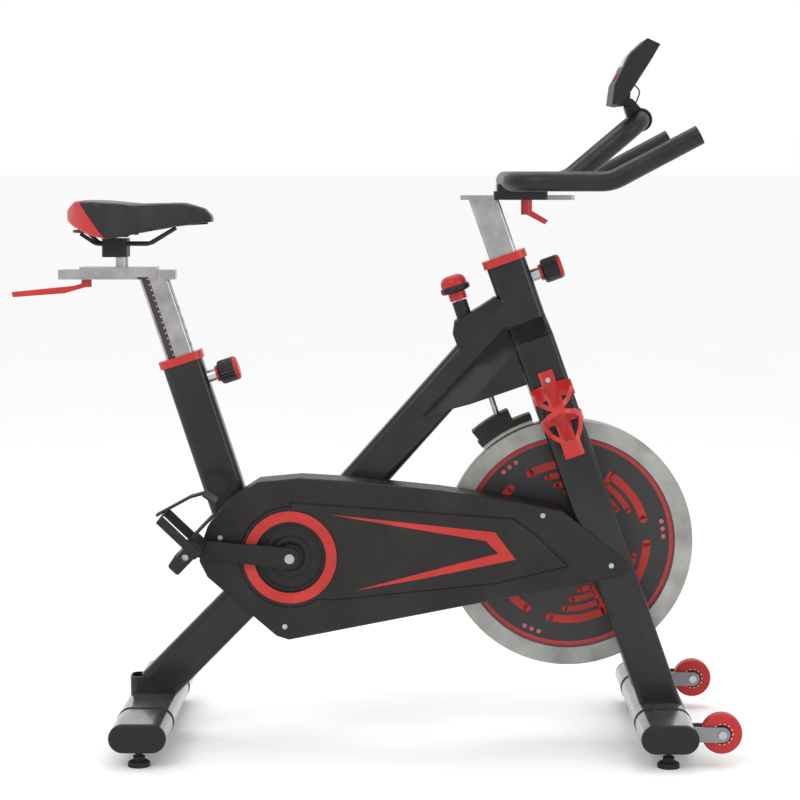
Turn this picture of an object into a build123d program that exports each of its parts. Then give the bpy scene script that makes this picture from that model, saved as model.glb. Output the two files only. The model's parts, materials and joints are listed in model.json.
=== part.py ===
from build123d import *
import os
from math import cos, radians, sin, tan

os.makedirs("parts", exist_ok=True)

# Indoor spin bike. X runs forward, Y to the rider's left, Z up; the origin lies on the floor, in the middle.
# The right side (negative Y) is the drive side. All sizes are in millimetres, all angles in degrees.

# ---------------------------------------------------------------- driving dimensions
# floor supports
STAB_LENGTH = 500.0        # across the bike, over the end caps
STAB_WIDTH = 98.0          # flat oval tube, along X
STAB_HEIGHT = 49.0
STAB_CENTRE_Z = 53.0
STAB_WALL = 2.5
FRONT_X = 509.5
REAR_X = -392.0
CAP_THICK = 10.0           # end cap outside the tube
CAP_PLUG = 8.0             # end cap inside the tube
FOOT_Y = 220.0
FOOT_RADIUS = 19.0
FOOT_STEM_RADIUS = 6.0
WHEEL_RADIUS = 35.0
WHEEL_WIDTH = 24.0
WHEEL_REACH = 91.0         # wheel centre in front of the front support's centre
WHEEL_Y = 205.0
WHEEL_CENTRE_Z = 56.0
WHEEL_PIN_RADIUS = 4.0

# frame tubes
TUBE_WIDTH = 71.0          # in the bike's plane
TUBE_DEPTH = 45.0          # across the bike
TUBE_CORNER = 13.0
TUBE_WALL = 3.0
HEAD_LEAN = 19.5           # head line, back from vertical
SEAT_LEAN = 18.0           # seat line, back from vertical
STRUT_ANGLE = 45.6         # rear strut, up from the floor
DIAGONAL_ANGLE = 48.5      # diagonal tube, up from the floor
DIAGONAL_SHIFT = 12.0      # its centre line passes this far below the crank axle
SEAT_FOOT_X = -206.0       # the seat line meets the strut here
SEAT_FOOT_Z = 275.0
SEAT_TUBE_TOP = 415.0      # along the seat line, from its foot
HEAD_TUBE_TOP = 817.0      # along the head line, from the front support's top
CROWN_TOP = 708.0
CROWN_SHOULDER = 679.0
CROWN_BOTTOM = 562.0
LEG_OUTER_Y = 88.0
LEG_DEPTH = 32.0
LEG_CORNER = 9.0
DROPOUT_THICK = 8.0
DROPOUT_RADIUS = 26.0

# posts, collars and pop pins
POST_WIDTH = 50.0
POST_DEPTH = 28.0
POST_CORNER = 7.0
POST_WALL = 2.5
POST_CLEARANCE = 0.1
COLLAR_WIDTH = 80.0
COLLAR_DEPTH = 54.0
COLLAR_HEIGHT = 14.0
SLEEVE_LENGTH = 62.0
SLEEVE_CLEARANCE = 0.1
SEAT_POST_INSERT = 225.0   # below the top of the seat tube
HEAD_POST_INSERT = 200.0
PIN_DROP = 37.0            # pin axis below the top of its tube
PIN_RADIUS = 4.0
PIN_CLEARANCE = 0.1
PIN_HOLE_PITCH = 22.0
PIN_HOLE_RADIUS = 4.6
PIN_NOSE_GAP = 0.4
BUSH_LENGTH = 15.0
BUSH_RADIUS = 11.0
KNOB_RADIUS = 21.5
KNOB_LENGTH = 41.0
KNOB_GAP = 0.5

# seat
SEAT_RAIL_Z = 818.6        # underside of the seat rail
SEAT_RAIL_THICK = 16.4
SEAT_RAIL_WIDTH = 40.0
SEAT_RAIL_REAR = -551.0
SEAT_RAIL_FRONT = -345.0
RAIL_SLOT_WIDTH = 10.6
STUD_RADIUS = 5.0
CARRIAGE_REAR = -512.0
CARRIAGE_FRONT = -377.0
CARRIAGE_THICK = 5.0
CHEEK_THICK = 3.0
CHEEK_GAP = 0.3
CHEEK_DROP = 12.0
STUB_X = -440.0
STUB_RADIUS = 11.0
STUB_HEIGHT = 30.0
SEAT_LEVER_X = -503.0
SEAT_LEVER_REACH = 132.0
SADDLE_WIDTH = 190.0
SADDLE_NOSE_WIDTH = 46.0
SADDLE_REAR = -537.0
SADDLE_NOSE = -275.0
SADDLE_WALL = 12.0
SADDLE_BASE_THICK = 4.0
SADDLE_RAIL_RADIUS = 3.5
SADDLE_TILT_SWING = 6.0    # degrees either way, about the middle of the stub's grip

# handlebar and console
BAR_RAIL_Z = 958.0
BAR_RAIL_THICK = 8.0
BAR_RAIL_WIDTH = 44.0
BAR_RAIL_REAR = 157.0
BAR_RAIL_FRONT = 356.0
BAR_TUBE_RADIUS = 16.5
BAR_TUBE_WALL = 2.5
BAR_BASE_X = 241.0
BAR_BASE_Z = 991.0
BAR_HALF_WIDTH = 223.5     # to the tube's centre line
BAR_BEND_X = 402.0
BAR_TIP_X = 547.0
BAR_TIP_Z = 1068.0
LOOP_HALF_WIDTH = 52.0
LOOP_BEND_X = 345.0
LOOP_TOP_X = 470.0
LOOP_TOP_Z = 1097.0
BRACKET_REAR = 215.0
BRACKET_FRONT = 309.0
BAR_LEVER_X = 273.0
CONSOLE_WIDTH = 124.0
HINGE_X = 451.0
HINGE_Z = 1128.0
HINGE_RADIUS = 6.0
HINGE_PIN_RADIUS = 2.5
BUTTON_RADIUS = 9.0
BUTTON_GAP = 0.3

# flywheel, belt drive and cranks
AXLE_X = 350.0
AXLE_Z = 351.0
FLYWHEEL_RADIUS = 221.0
RIM_INNER_RADIUS = 190.0
RIM_WIDTH = 28.0
DISC_THICK = 12.0
HUB_RADIUS = 30.0
HUB_HALF = 34.0
AXLE_RADIUS = 7.5
BEARING_WIDTH = 12.0
BEARING_RADIUS = 17.5
RUNNING_FIT = 0.05
CRANK_X = -140.0
CRANK_Z = 338.5
SHELL_RADIUS = 30.0
SHELL_HALF = 30.0
SHELL_BORE = 20.5
CRANK_AXLE_RADIUS = 8.5
SMALL_PULLEY_RADIUS = 30.0
LARGE_PULLEY_RADIUS = 110.0
PULLEY_WIDTH = 14.0
BELT_WIDTH = 12.0
BELT_THICK = 3.0
BELT_GAP = 0.3
CRANK_LENGTH = 172.5
CRANK_TURN = 174.0         # right crank's angle up from +X, at rest
CRANK_INNER_Y = 104.0
CRANK_THICK = 13.0
SPINDLE_RADIUS = 6.0
PEDAL_TILT = 46.0          # toe end up
PEDAL_WIDTH = 88.0
PEDAL_LENGTH = 62.0
PEDAL_THICK = 24.0
PEDAL_GAP = 4.0
CAGE_HEIGHT = 80.0
CAGE_REACH = 102.0
CAGE_BAND = 4.0
STRAP_WIDTH = 16.0
STRAP_THICK = 2.0

# drive covers and gusset skins
COVER_FACE_Y = 94.0
COVER_SPLIT_Y = 58.0
COVER_BACK_Y = 27.0
COVER_WALL = 2.5
COVER_PLATEAU = 4.0
RING_OUTER = 82.0
RING_INNER = 62.0
RING_RAISE = 2.0
RECESS_DEPTH = 8.0
COVER_CLEARANCE = 1.0
LEFT_COVER_RADIUS = 88.0
LEFT_COVER_Y = 62.0
SKIN_WALL = 2.5

# friction brake
BRAKE_LEAN = 18.4
BRAKE_TOP_X = 147.8
BRAKE_TOP_Z = 802.9
BRAKE_ROD_RADIUS = 5.0
BRAKE_ROD_LENGTH = 228.0
BRAKE_GUIDE_RADIUS = 13.5
BRAKE_GUIDE_TOP = -24.0
BRAKE_GUIDE_LENGTH = 60.0
BRAKE_GUIDE_BORE = 9.5
PAD_GAP = 2.0
PAD_THICK = 6.0
PAD_START = 106.5
PAD_END = 132.0

# bottle cage
BOTTLE_RADIUS = 33.0
BOTTLE_WALL = 3.5
BOTTLE_FOOT = 474.0        # along the head line
BOTTLE_LENGTH = 148.0

# ---------------------------------------------------------------- derived places
STAB_TOP = STAB_CENTRE_Z + STAB_HEIGHT / 2
LEG_CENTRE_Y = LEG_OUTER_Y - LEG_DEPTH / 2
LEG_INNER_Y = LEG_OUTER_Y - LEG_DEPTH
WHEEL_X = FRONT_X + WHEEL_REACH
COVER_TOP_Y = COVER_FACE_Y + COVER_PLATEAU


def lean_plane(x, z, lean):
    """A plane across a line that leans back from vertical; its own x looks forward, its own y left."""
    a = radians(lean)
    return Plane(origin=(x, 0, z), x_dir=(cos(a), 0, sin(a)), z_dir=(-sin(a), 0, cos(a)))


HEAD_LINE = lean_plane(FRONT_X, STAB_TOP, HEAD_LEAN)
SEAT_LINE = lean_plane(SEAT_FOOT_X, SEAT_FOOT_Z, SEAT_LEAN)
STRUT_LINE = lean_plane(CRANK_X, CRANK_Z, STRUT_ANGLE - 90)
DIAGONAL_LINE = lean_plane(
    CRANK_X + DIAGONAL_SHIFT * sin(radians(DIAGONAL_ANGLE)),
    CRANK_Z - DIAGONAL_SHIFT * cos(radians(DIAGONAL_ANGLE)),
    DIAGONAL_ANGLE - 90,
)
BRAKE_LINE = lean_plane(BRAKE_TOP_X, BRAKE_TOP_Z, BRAKE_LEAN)


def leg_rear_x(z):
    """Where the rear face of the head line's tubes lies, at height z."""
    lean = radians(HEAD_LEAN)
    return FRONT_X - (z - STAB_TOP) * tan(lean) - TUBE_WIDTH / 2 / cos(lean)


def side_plane(y):
    """A plane that faces the right side, at the given y; its own x and y are X and Z."""
    return Plane.XZ.offset(-y)


def hollow_section(width, depth, corner, wall):
    """A rounded rectangular tube's section."""
    RectangleRounded(width, depth, corner)
    RectangleRounded(width - 2 * wall, depth - 2 * wall, corner - wall, mode=Mode.SUBTRACT)


def rounded_path(points, radius):
    """Straight runs joined by tangent arcs, inside an open BuildLine."""
    corners = [Vector(*p) for p in points]
    start = corners[0]
    for before, corner, after in zip(corners, corners[1:], corners[2:]):
        way_in = (corner - before).normalized()
        way_out = (after - corner).normalized()
        turn = radians(way_in.get_angle(way_out))
        reach = radius * tan(turn / 2)
        first = corner - way_in * reach
        last = corner + way_out * reach
        inward = (way_out - way_in).normalized()
        middle = corner + inward * (radius / cos(turn / 2) - radius)
        Line(start, first)
        ThreePointArc(first, middle, last)
        start = last
    Line(start, corners[-1])


# ---------------------------------------------------------------- floor supports
STAB_TUBE_HALF = STAB_LENGTH / 2 - CAP_THICK


def stabilizer_outline(x):
    with Locations((x, STAB_CENTRE_Z)):
        SlotOverall(STAB_WIDTH, STAB_HEIGHT)


with BuildPart() as rear_stabilizer:
    with BuildSketch(side_plane(STAB_TUBE_HALF)):
        stabilizer_outline(REAR_X)
        with Locations((REAR_X, STAB_CENTRE_Z)):
            SlotOverall(STAB_WIDTH - 2 * STAB_WALL, STAB_HEIGHT - 2 * STAB_WALL, mode=Mode.SUBTRACT)
    extrude(amount=2 * STAB_TUBE_HALF)
    with BuildSketch(Plane.XY):
        with Locations((REAR_X, FOOT_Y), (REAR_X, -FOOT_Y)):
            Circle(FOOT_STEM_RADIUS + PIN_CLEARANCE)
    extrude(amount=STAB_CENTRE_Z, mode=Mode.SUBTRACT)
rear_stabilizer.part.label = "rear_stabilizer"
export_step(rear_stabilizer.part, "parts/rear_stabilizer.step")

BRACKET_PLATE = 4.0
BRACKET_PLATE_HEIGHT = 26.0
WHEEL_SIDE_GAP = 1.0
PLATE_OFFSET = WHEEL_WIDTH / 2 + WHEEL_SIDE_GAP
with BuildPart() as front_stabilizer:
    with BuildSketch(side_plane(STAB_TUBE_HALF)):
        stabilizer_outline(FRONT_X)
    extrude(amount=2 * STAB_TUBE_HALF)
    for side in (1, -1):
        for inner in (PLATE_OFFSET, -PLATE_OFFSET - BRACKET_PLATE):
            with BuildSketch(side_plane(side * WHEEL_Y + inner + BRACKET_PLATE)):
                with Locations((WHEEL_X, WHEEL_CENTRE_Z)):
                    Circle(BRACKET_PLATE_HEIGHT / 2)
                with Locations(((FRONT_X + WHEEL_X) / 2, WHEEL_CENTRE_Z)):
                    Rectangle(WHEEL_REACH, BRACKET_PLATE_HEIGHT)
            extrude(amount=BRACKET_PLATE)
    with BuildSketch(side_plane(STAB_TUBE_HALF)):
        with Locations((FRONT_X, STAB_CENTRE_Z)):
            SlotOverall(STAB_WIDTH - 2 * STAB_WALL, STAB_HEIGHT - 2 * STAB_WALL)
        with Locations((WHEEL_X, WHEEL_CENTRE_Z)):
            Circle(WHEEL_PIN_RADIUS + PIN_CLEARANCE)
    extrude(amount=2 * STAB_TUBE_HALF, mode=Mode.SUBTRACT)
    with BuildSketch(Plane.XY):
        with Locations((FRONT_X, FOOT_Y), (FRONT_X, -FOOT_Y)):
            Circle(FOOT_STEM_RADIUS + PIN_CLEARANCE)
    extrude(amount=STAB_CENTRE_Z, mode=Mode.SUBTRACT)
front_stabilizer.part.label = "front_stabilizer"
export_step(front_stabilizer.part, "parts/front_stabilizer.step")

PLUG_CLEARANCE = 0.2
with BuildPart() as end_caps:
    for x in (FRONT_X, REAR_X):
        for side in (1, -1):
            inner_y = side * STAB_TUBE_HALF
            with BuildSketch(side_plane(inner_y)):
                stabilizer_outline(x)
            extrude(amount=-side * CAP_THICK)
            with BuildSketch(side_plane(inner_y)):
                with Locations((x, STAB_CENTRE_Z)):
                    SlotOverall(
                        STAB_WIDTH - 2 * STAB_WALL - 2 * PLUG_CLEARANCE,
                        STAB_HEIGHT - 2 * STAB_WALL - 2 * PLUG_CLEARANCE,
                    )
            extrude(amount=side * CAP_PLUG)
    faces_out = end_caps.faces().filter_by(Axis.Y)
    rims = [f for f in faces_out if abs(abs(f.center().Y) - STAB_LENGTH / 2) < 0.01]
    fillet([e for f in rims for e in f.edges()], 4.0)
end_caps.part.label = "end_caps"
export_step(end_caps.part, "parts/end_caps.step")

FOOT_PAD_HEIGHT = 9.0
FOOT_NECK_TOP = 18.0
FOOT_STEM_TOP = STAB_CENTRE_Z
for end_name, x in (("front", FRONT_X), ("rear", REAR_X)):
    for side_name, side in (("left", 1), ("right", -1)):
        with BuildPart() as foot:
            with BuildSketch(Plane.XY):
                with Locations((x, side * FOOT_Y)):
                    Circle(FOOT_RADIUS)
            extrude(amount=FOOT_PAD_HEIGHT)
            fillet(foot.edges().filter_by(GeomType.CIRCLE).sort_by(Axis.Z)[-1], 4.0)
            with BuildSketch(Plane.XY.offset(FOOT_PAD_HEIGHT)):
                with Locations((x, side * FOOT_Y)):
                    Circle(FOOT_STEM_RADIUS + 4)
            extrude(amount=FOOT_NECK_TOP - FOOT_PAD_HEIGHT)
            with BuildSketch(Plane.XY.offset(FOOT_NECK_TOP)):
                with Locations((x, side * FOOT_Y)):
                    Circle(FOOT_STEM_RADIUS)
            extrude(amount=FOOT_STEM_TOP - FOOT_NECK_TOP)
        name = f"foot_{end_name}_{side_name}"
        foot.part.label = name
        export_step(foot.part, f"parts/{name}.step")

for side_name, side in (("left", 1), ("right", -1)):
    with BuildPart() as wheel:
        with BuildSketch(side_plane(side * WHEEL_Y + WHEEL_WIDTH / 2)):
            with Locations((WHEEL_X, WHEEL_CENTRE_Z)):
                Circle(WHEEL_RADIUS)
                Circle(WHEEL_PIN_RADIUS + RUNNING_FIT, mode=Mode.SUBTRACT)
        extrude(amount=WHEEL_WIDTH)
        tread = wheel.edges().filter_by(GeomType.CIRCLE)
        fillet([e for e in tread if e.radius > WHEEL_RADIUS - 1], 5.0)
    name = f"transport_wheel_{side_name}"
    wheel.part.label = name
    export_step(wheel.part, f"parts/{name}.step")

# ---------------------------------------------------------------- frame tubes
with BuildPart() as stabilizer_envelope:
    with BuildSketch(side_plane(STAB_TUBE_HALF)):
        stabilizer_outline(FRONT_X)
        stabilizer_outline(REAR_X)
    extrude(amount=2 * STAB_TUBE_HALF)

with BuildPart() as bb_shell:
    with BuildSketch(side_plane(SHELL_HALF)):
        with Locations((CRANK_X, CRANK_Z)):
            Circle(SHELL_RADIUS)
            Circle(SHELL_BORE, mode=Mode.SUBTRACT)
    extrude(amount=2 * SHELL_HALF)
bb_shell.part.label = "bb_shell"
export_step(bb_shell.part, "parts/bb_shell.step")

with BuildPart() as shell_envelope:
    with BuildSketch(side_plane(SHELL_HALF)):
        with Locations((CRANK_X, CRANK_Z)):
            Circle(SHELL_RADIUS)
    extrude(amount=2 * SHELL_HALF)

with BuildPart() as pin_bores:
    for line, top in ((SEAT_LINE, SEAT_TUBE_TOP), (HEAD_LINE, HEAD_TUBE_TOP)):
        across_tube = line.offset(top - PIN_DROP)
        with BuildSketch(Plane(across_tube.origin, x_dir=(0, 1, 0), z_dir=across_tube.x_dir)):
            Circle(BUSH_RADIUS - 3)
        extrude(amount=TUBE_WIDTH)

STRUT_DROP = (CRANK_Z - STAB_TOP) / sin(radians(STRUT_ANGLE))
STRUT_FOOT_X = CRANK_X - (CRANK_Z - STAB_TOP) / tan(radians(STRUT_ANGLE))
with BuildPart() as rear_strut:
    with BuildSketch(STRUT_LINE.offset(-STRUT_DROP + 12)):
        hollow_section(TUBE_WIDTH, TUBE_DEPTH, TUBE_CORNER, TUBE_WALL)
    extrude(amount=STRUT_DROP + 8)
    with BuildSketch(Plane.XY.offset(STAB_CENTRE_Z)):
        with Locations((STRUT_FOOT_X + 2, 0)):
            hollow_section(TUBE_WIDTH + 8, TUBE_DEPTH, TUBE_CORNER, TUBE_WALL)
    extrude(amount=STAB_HEIGHT / 2 + 30)
    add(stabilizer_envelope.part, mode=Mode.SUBTRACT)
    add(shell_envelope.part, mode=Mode.SUBTRACT)
rear_strut.part.label = "rear_strut"
export_step(rear_strut.part, "parts/rear_strut.step")

with BuildPart() as strut_envelope:
    with BuildSketch(STRUT_LINE.offset(-STRUT_DROP + 12)):
        RectangleRounded(TUBE_WIDTH, TUBE_DEPTH, TUBE_CORNER)
    extrude(amount=STRUT_DROP + 8)

with BuildPart() as seat_tube:
    with BuildSketch(SEAT_LINE):
        hollow_section(TUBE_WIDTH, TUBE_DEPTH, TUBE_CORNER, TUBE_WALL)
    extrude(amount=SEAT_TUBE_TOP)
    add(strut_envelope.part, mode=Mode.SUBTRACT)
    add(shell_envelope.part, mode=Mode.SUBTRACT)
    add(pin_bores.part, mode=Mode.SUBTRACT)
seat_tube.part.label = "seat_tube"
export_step(seat_tube.part, "parts/seat_tube.step")

with BuildPart() as head_tube:
    with BuildSketch(HEAD_LINE.offset(CROWN_TOP)):
        hollow_section(TUBE_WIDTH, TUBE_DEPTH, TUBE_CORNER, TUBE_WALL)
    extrude(amount=HEAD_TUBE_TOP - CROWN_TOP)
    add(pin_bores.part, mode=Mode.SUBTRACT)
head_tube.part.label = "head_tube"
export_step(head_tube.part, "parts/head_tube.step")

with BuildPart() as head_envelope:
    with BuildSketch(HEAD_LINE):
        RectangleRounded(TUBE_WIDTH, TUBE_DEPTH, TUBE_CORNER)
    extrude(amount=HEAD_TUBE_TOP)

# the crown spreads from the head tube's width to the legs' outer faces; it is hollow for the post's end
CROWN_CORNER = LEG_CORNER
with BuildPart() as crown:
    with BuildSketch(HEAD_LINE.offset(CROWN_BOTTOM)):
        RectangleRounded(TUBE_WIDTH, 2 * LEG_OUTER_Y, CROWN_CORNER)
    extrude(amount=CROWN_SHOULDER - CROWN_BOTTOM)
    with BuildSketch(HEAD_LINE.offset(CROWN_SHOULDER)):
        RectangleRounded(TUBE_WIDTH, 2 * LEG_OUTER_Y, CROWN_CORNER)
    with BuildSketch(HEAD_LINE.offset(CROWN_TOP)):
        RectangleRounded(TUBE_WIDTH, TUBE_DEPTH, CROWN_CORNER)
    loft(ruled=True)
    with BuildSketch(HEAD_LINE.offset(CROWN_BOTTOM + TUBE_WALL)):
        RectangleRounded(TUBE_WIDTH - 2 * TUBE_WALL, 2 * (LEG_OUTER_Y - TUBE_WALL), CROWN_CORNER - TUBE_WALL)
    extrude(amount=CROWN_SHOULDER - CROWN_BOTTOM - 2 * TUBE_WALL, mode=Mode.SUBTRACT)
    with BuildSketch(HEAD_LINE.offset(CROWN_BOTTOM + TUBE_WALL)):
        RectangleRounded(TUBE_WIDTH - 2 * TUBE_WALL, TUBE_DEPTH - 2 * TUBE_WALL, CROWN_CORNER - TUBE_WALL)
    extrude(amount=CROWN_TOP - CROWN_BOTTOM, mode=Mode.SUBTRACT)
crown.part.label = "crown"
export_step(crown.part, "parts/crown.step")

# each leg carries a dropout plate that holds the flywheel's axle behind it
for side_name, side in (("left", 1), ("right", -1)):
    with BuildPart() as leg:
        with BuildSketch(HEAD_LINE.offset(-STAB_HEIGHT)):
            with Locations((0, side * LEG_CENTRE_Y)):
                hollow_section(TUBE_WIDTH, LEG_DEPTH, LEG_CORNER, TUBE_WALL)
        extrude(amount=CROWN_BOTTOM + STAB_HEIGHT)
        add(stabilizer_envelope.part, mode=Mode.SUBTRACT)
        split(bisect_by=Plane.XY.offset(STAB_CENTRE_Z), keep=Keep.TOP)
        plate_side = side * LEG_INNER_Y if side > 0 else -LEG_INNER_Y - DROPOUT_THICK
        with BuildSketch(side_plane(plate_side + DROPOUT_THICK)):
            with Locations((AXLE_X, AXLE_Z)):
                Circle(DROPOUT_RADIUS)
            with Locations((AXLE_X + TUBE_WIDTH / 2, AXLE_Z)):
                Rectangle(TUBE_WIDTH, 2 * DROPOUT_RADIUS)
        extrude(amount=DROPOUT_THICK)
        with BuildSketch(side_plane(side * LEG_OUTER_Y + LEG_DEPTH)):
            with Locations((AXLE_X, AXLE_Z)):
                Circle(AXLE_RADIUS + RUNNING_FIT)
        extrude(amount=2 * LEG_DEPTH, mode=Mode.SUBTRACT)
    name = f"fork_leg_{side_name}"
    leg.part.label = name
    export_step(leg.part, f"parts/{name}.step")

with BuildPart() as brake_bore:
    with BuildSketch(BRAKE_LINE):
        Circle(BRAKE_GUIDE_BORE)
    extrude(amount=-BRAKE_ROD_LENGTH)

with BuildPart() as diagonal_tube:
    with BuildSketch(DIAGONAL_LINE):
        hollow_section(TUBE_WIDTH, TUBE_DEPTH, TUBE_CORNER, TUBE_WALL)
    extrude(amount=2 * (HEAD_TUBE_TOP - CROWN_BOTTOM) + 100)
    split(bisect_by=Plane(HEAD_LINE.origin, z_dir=HEAD_LINE.x_dir), keep=Keep.BOTTOM)
    add(head_envelope.part, mode=Mode.SUBTRACT)
    add(crown.part, mode=Mode.SUBTRACT)
    add(shell_envelope.part, mode=Mode.SUBTRACT)
    add(strut_envelope.part, mode=Mode.SUBTRACT)
    with BuildSketch(SEAT_LINE):
        RectangleRounded(TUBE_WIDTH, TUBE_DEPTH, TUBE_CORNER)
    extrude(amount=SEAT_TUBE_TOP, mode=Mode.SUBTRACT)
    add(brake_bore.part, mode=Mode.SUBTRACT)
diagonal_tube.part.label = "diagonal_tube"
export_step(diagonal_tube.part, "parts/diagonal_tube.step")

with BuildPart() as diagonal_envelope:
    with BuildSketch(DIAGONAL_LINE):
        RectangleRounded(TUBE_WIDTH, TUBE_DEPTH, TUBE_CORNER)
    extrude(amount=2 * (HEAD_TUBE_TOP - CROWN_BOTTOM) + 100)

# gusset skins: open below and against the tube; each widens from the tube's side to the leg's outer face
SKIN_LOW_X = 88.0
SKIN_LOW_Z = 576.0
SKIN_TOP_Z = 738.0
SKIN_EDGE_Z = 640.0
SKIN_BEND_Z = 700.0
SKIN_BEND_X = 173.0
SKIN_OUTER_Y = LEG_OUTER_Y - 4.0


def skin_solid(drop):
    """The gusset's outer form; drop moves it in and down for the hollow."""
    slope = (SKIN_EDGE_Z - SKIN_LOW_Z) / (leg_rear_x(SKIN_EDGE_Z) - SKIN_LOW_X)
    bend_low_z = SKIN_LOW_Z + slope * (SKIN_BEND_X - SKIN_LOW_X)
    inner = [
        (SKIN_LOW_X + drop, SKIN_LOW_Z - drop),
        (leg_rear_x(SKIN_TOP_Z) + drop, SKIN_TOP_Z - 2 * drop),
        (leg_rear_x(SKIN_EDGE_Z) + drop, SKIN_EDGE_Z - drop),
    ]
    outer = [
        (SKIN_BEND_X + drop, bend_low_z - drop),
        (leg_rear_x(SKIN_BEND_Z) + drop, SKIN_BEND_Z - 2 * drop),
        (leg_rear_x(SKIN_EDGE_Z) + drop, SKIN_EDGE_Z - drop),
    ]
    with BuildPart() as form:
        with BuildSketch(side_plane(-TUBE_DEPTH / 2 + drop)):
            with BuildLine():
                Polyline(*inner, close=True)
            make_face()
        with BuildSketch(side_plane(-SKIN_OUTER_Y + drop)):
            with BuildLine():
                Polyline(*outer, close=True)
            make_face()
        loft(ruled=True)
    return form.part


with BuildPart() as shroud_plates:
    add(skin_solid(0))
    add(skin_solid(SKIN_WALL), mode=Mode.SUBTRACT)
    add(diagonal_envelope.part, mode=Mode.SUBTRACT)
    mirror(about=Plane.XZ)
shroud_plates.part.label = "shroud_plates"
export_step(shroud_plates.part, "parts/shroud_plates.step")

# ---------------------------------------------------------------- collars and pop pins
# each collar sits on its tube's rim and lines it with a sleeve that the post slides in
with BuildPart() as post_collars:
    for line, top in ((SEAT_LINE, SEAT_TUBE_TOP), (HEAD_LINE, HEAD_TUBE_TOP)):
        with BuildSketch(line.offset(top)):
            RectangleRounded(COLLAR_WIDTH, COLLAR_DEPTH, TUBE_CORNER + 4)
        extrude(amount=COLLAR_HEIGHT)
        with BuildSketch(line.offset(top)):
            fit = 2 * (TUBE_WALL + SLEEVE_CLEARANCE)
            RectangleRounded(TUBE_WIDTH - fit, TUBE_DEPTH - fit, TUBE_CORNER - fit / 2)
        extrude(amount=-SLEEVE_LENGTH)
    for line, top in ((SEAT_LINE, SEAT_TUBE_TOP), (HEAD_LINE, HEAD_TUBE_TOP)):
        with BuildSketch(line.offset(top + COLLAR_HEIGHT)):
            RectangleRounded(
                POST_WIDTH + 2 * POST_CLEARANCE,
                POST_DEPTH + 2 * POST_CLEARANCE,
                POST_CORNER + POST_CLEARANCE,
            )
        extrude(amount=-COLLAR_HEIGHT - SLEEVE_LENGTH, mode=Mode.SUBTRACT)
        across_tube = line.offset(top - PIN_DROP)
        with BuildSketch(Plane(across_tube.origin, x_dir=(0, 1, 0), z_dir=across_tube.x_dir)):
            Circle(PIN_RADIUS + 1)
        extrude(amount=TUBE_WIDTH, mode=Mode.SUBTRACT)
post_collars.part.label = "post_collars"
export_step(post_collars.part, "parts/post_collars.step")


def pin_plane(line, top, out):
    """A plane across a pop pin's axis, facing away from the tube, a distance out from the tube's axis."""
    level = line.offset(top - PIN_DROP)
    return Plane(level.origin + level.x_dir * out, x_dir=(0, 1, 0), z_dir=level.x_dir)


KNOB_START = TUBE_WIDTH / 2 + BUSH_LENGTH + KNOB_GAP
for name, line, top in (("seat_pin", SEAT_LINE, SEAT_TUBE_TOP), ("bar_pin", HEAD_LINE, HEAD_TUBE_TOP)):
    with BuildPart() as pin:
        with BuildSketch(pin_plane(line, top, POST_WIDTH / 2 + PIN_NOSE_GAP)):
            Circle(PIN_RADIUS)
        extrude(amount=KNOB_START + KNOB_LENGTH / 2 - POST_WIDTH / 2)
        with BuildSketch(pin_plane(line, top, KNOB_START)):
            Circle(KNOB_RADIUS - 7)
        extrude(amount=5)
        with BuildSketch(pin_plane(line, top, KNOB_START + 5)):
            Circle(KNOB_RADIUS)
        extrude(amount=KNOB_LENGTH - 5)
        rounds = [e for e in pin.edges().filter_by(GeomType.CIRCLE) if e.radius > KNOB_RADIUS - 0.1]
        fillet(rounds, 6.0)
    pin.part.label = name
    export_step(pin.part, f"parts/{name}.step")

# ---------------------------------------------------------------- seat post, rail and carriage
with BuildPart() as seat_post:
    with BuildSketch(SEAT_LINE.offset(SEAT_TUBE_TOP - SEAT_POST_INSERT)):
        hollow_section(POST_WIDTH, POST_DEPTH, POST_CORNER, POST_WALL)
    extrude(amount=SEAT_POST_INSERT + 170)
    split(bisect_by=Plane.XY.offset(SEAT_RAIL_Z), keep=Keep.BOTTOM)
    for index in range(1, 7):
        hole_plane = pin_plane(SEAT_LINE, SEAT_TUBE_TOP + index * PIN_HOLE_PITCH, 0)
        with BuildSketch(hole_plane):
            Circle(PIN_HOLE_RADIUS)
        extrude(amount=POST_WIDTH, mode=Mode.SUBTRACT)
    with BuildSketch(Plane.XY.offset(SEAT_RAIL_Z)):
        with Locations(((SEAT_RAIL_REAR + SEAT_RAIL_FRONT) / 2, 0)):
            RectangleRounded(SEAT_RAIL_FRONT - SEAT_RAIL_REAR, SEAT_RAIL_WIDTH, 6)
    extrude(amount=SEAT_RAIL_THICK)
    with BuildSketch(Plane.XY.offset(SEAT_RAIL_Z)):
        with Locations((SEAT_LEVER_X, 0)):
            SlotCenterToCenter(70, RAIL_SLOT_WIDTH)
    extrude(amount=SEAT_RAIL_THICK, mode=Mode.SUBTRACT)
seat_post.part.label = "seat_post"
export_step(seat_post.part, "parts/seat_post.step")

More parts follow.
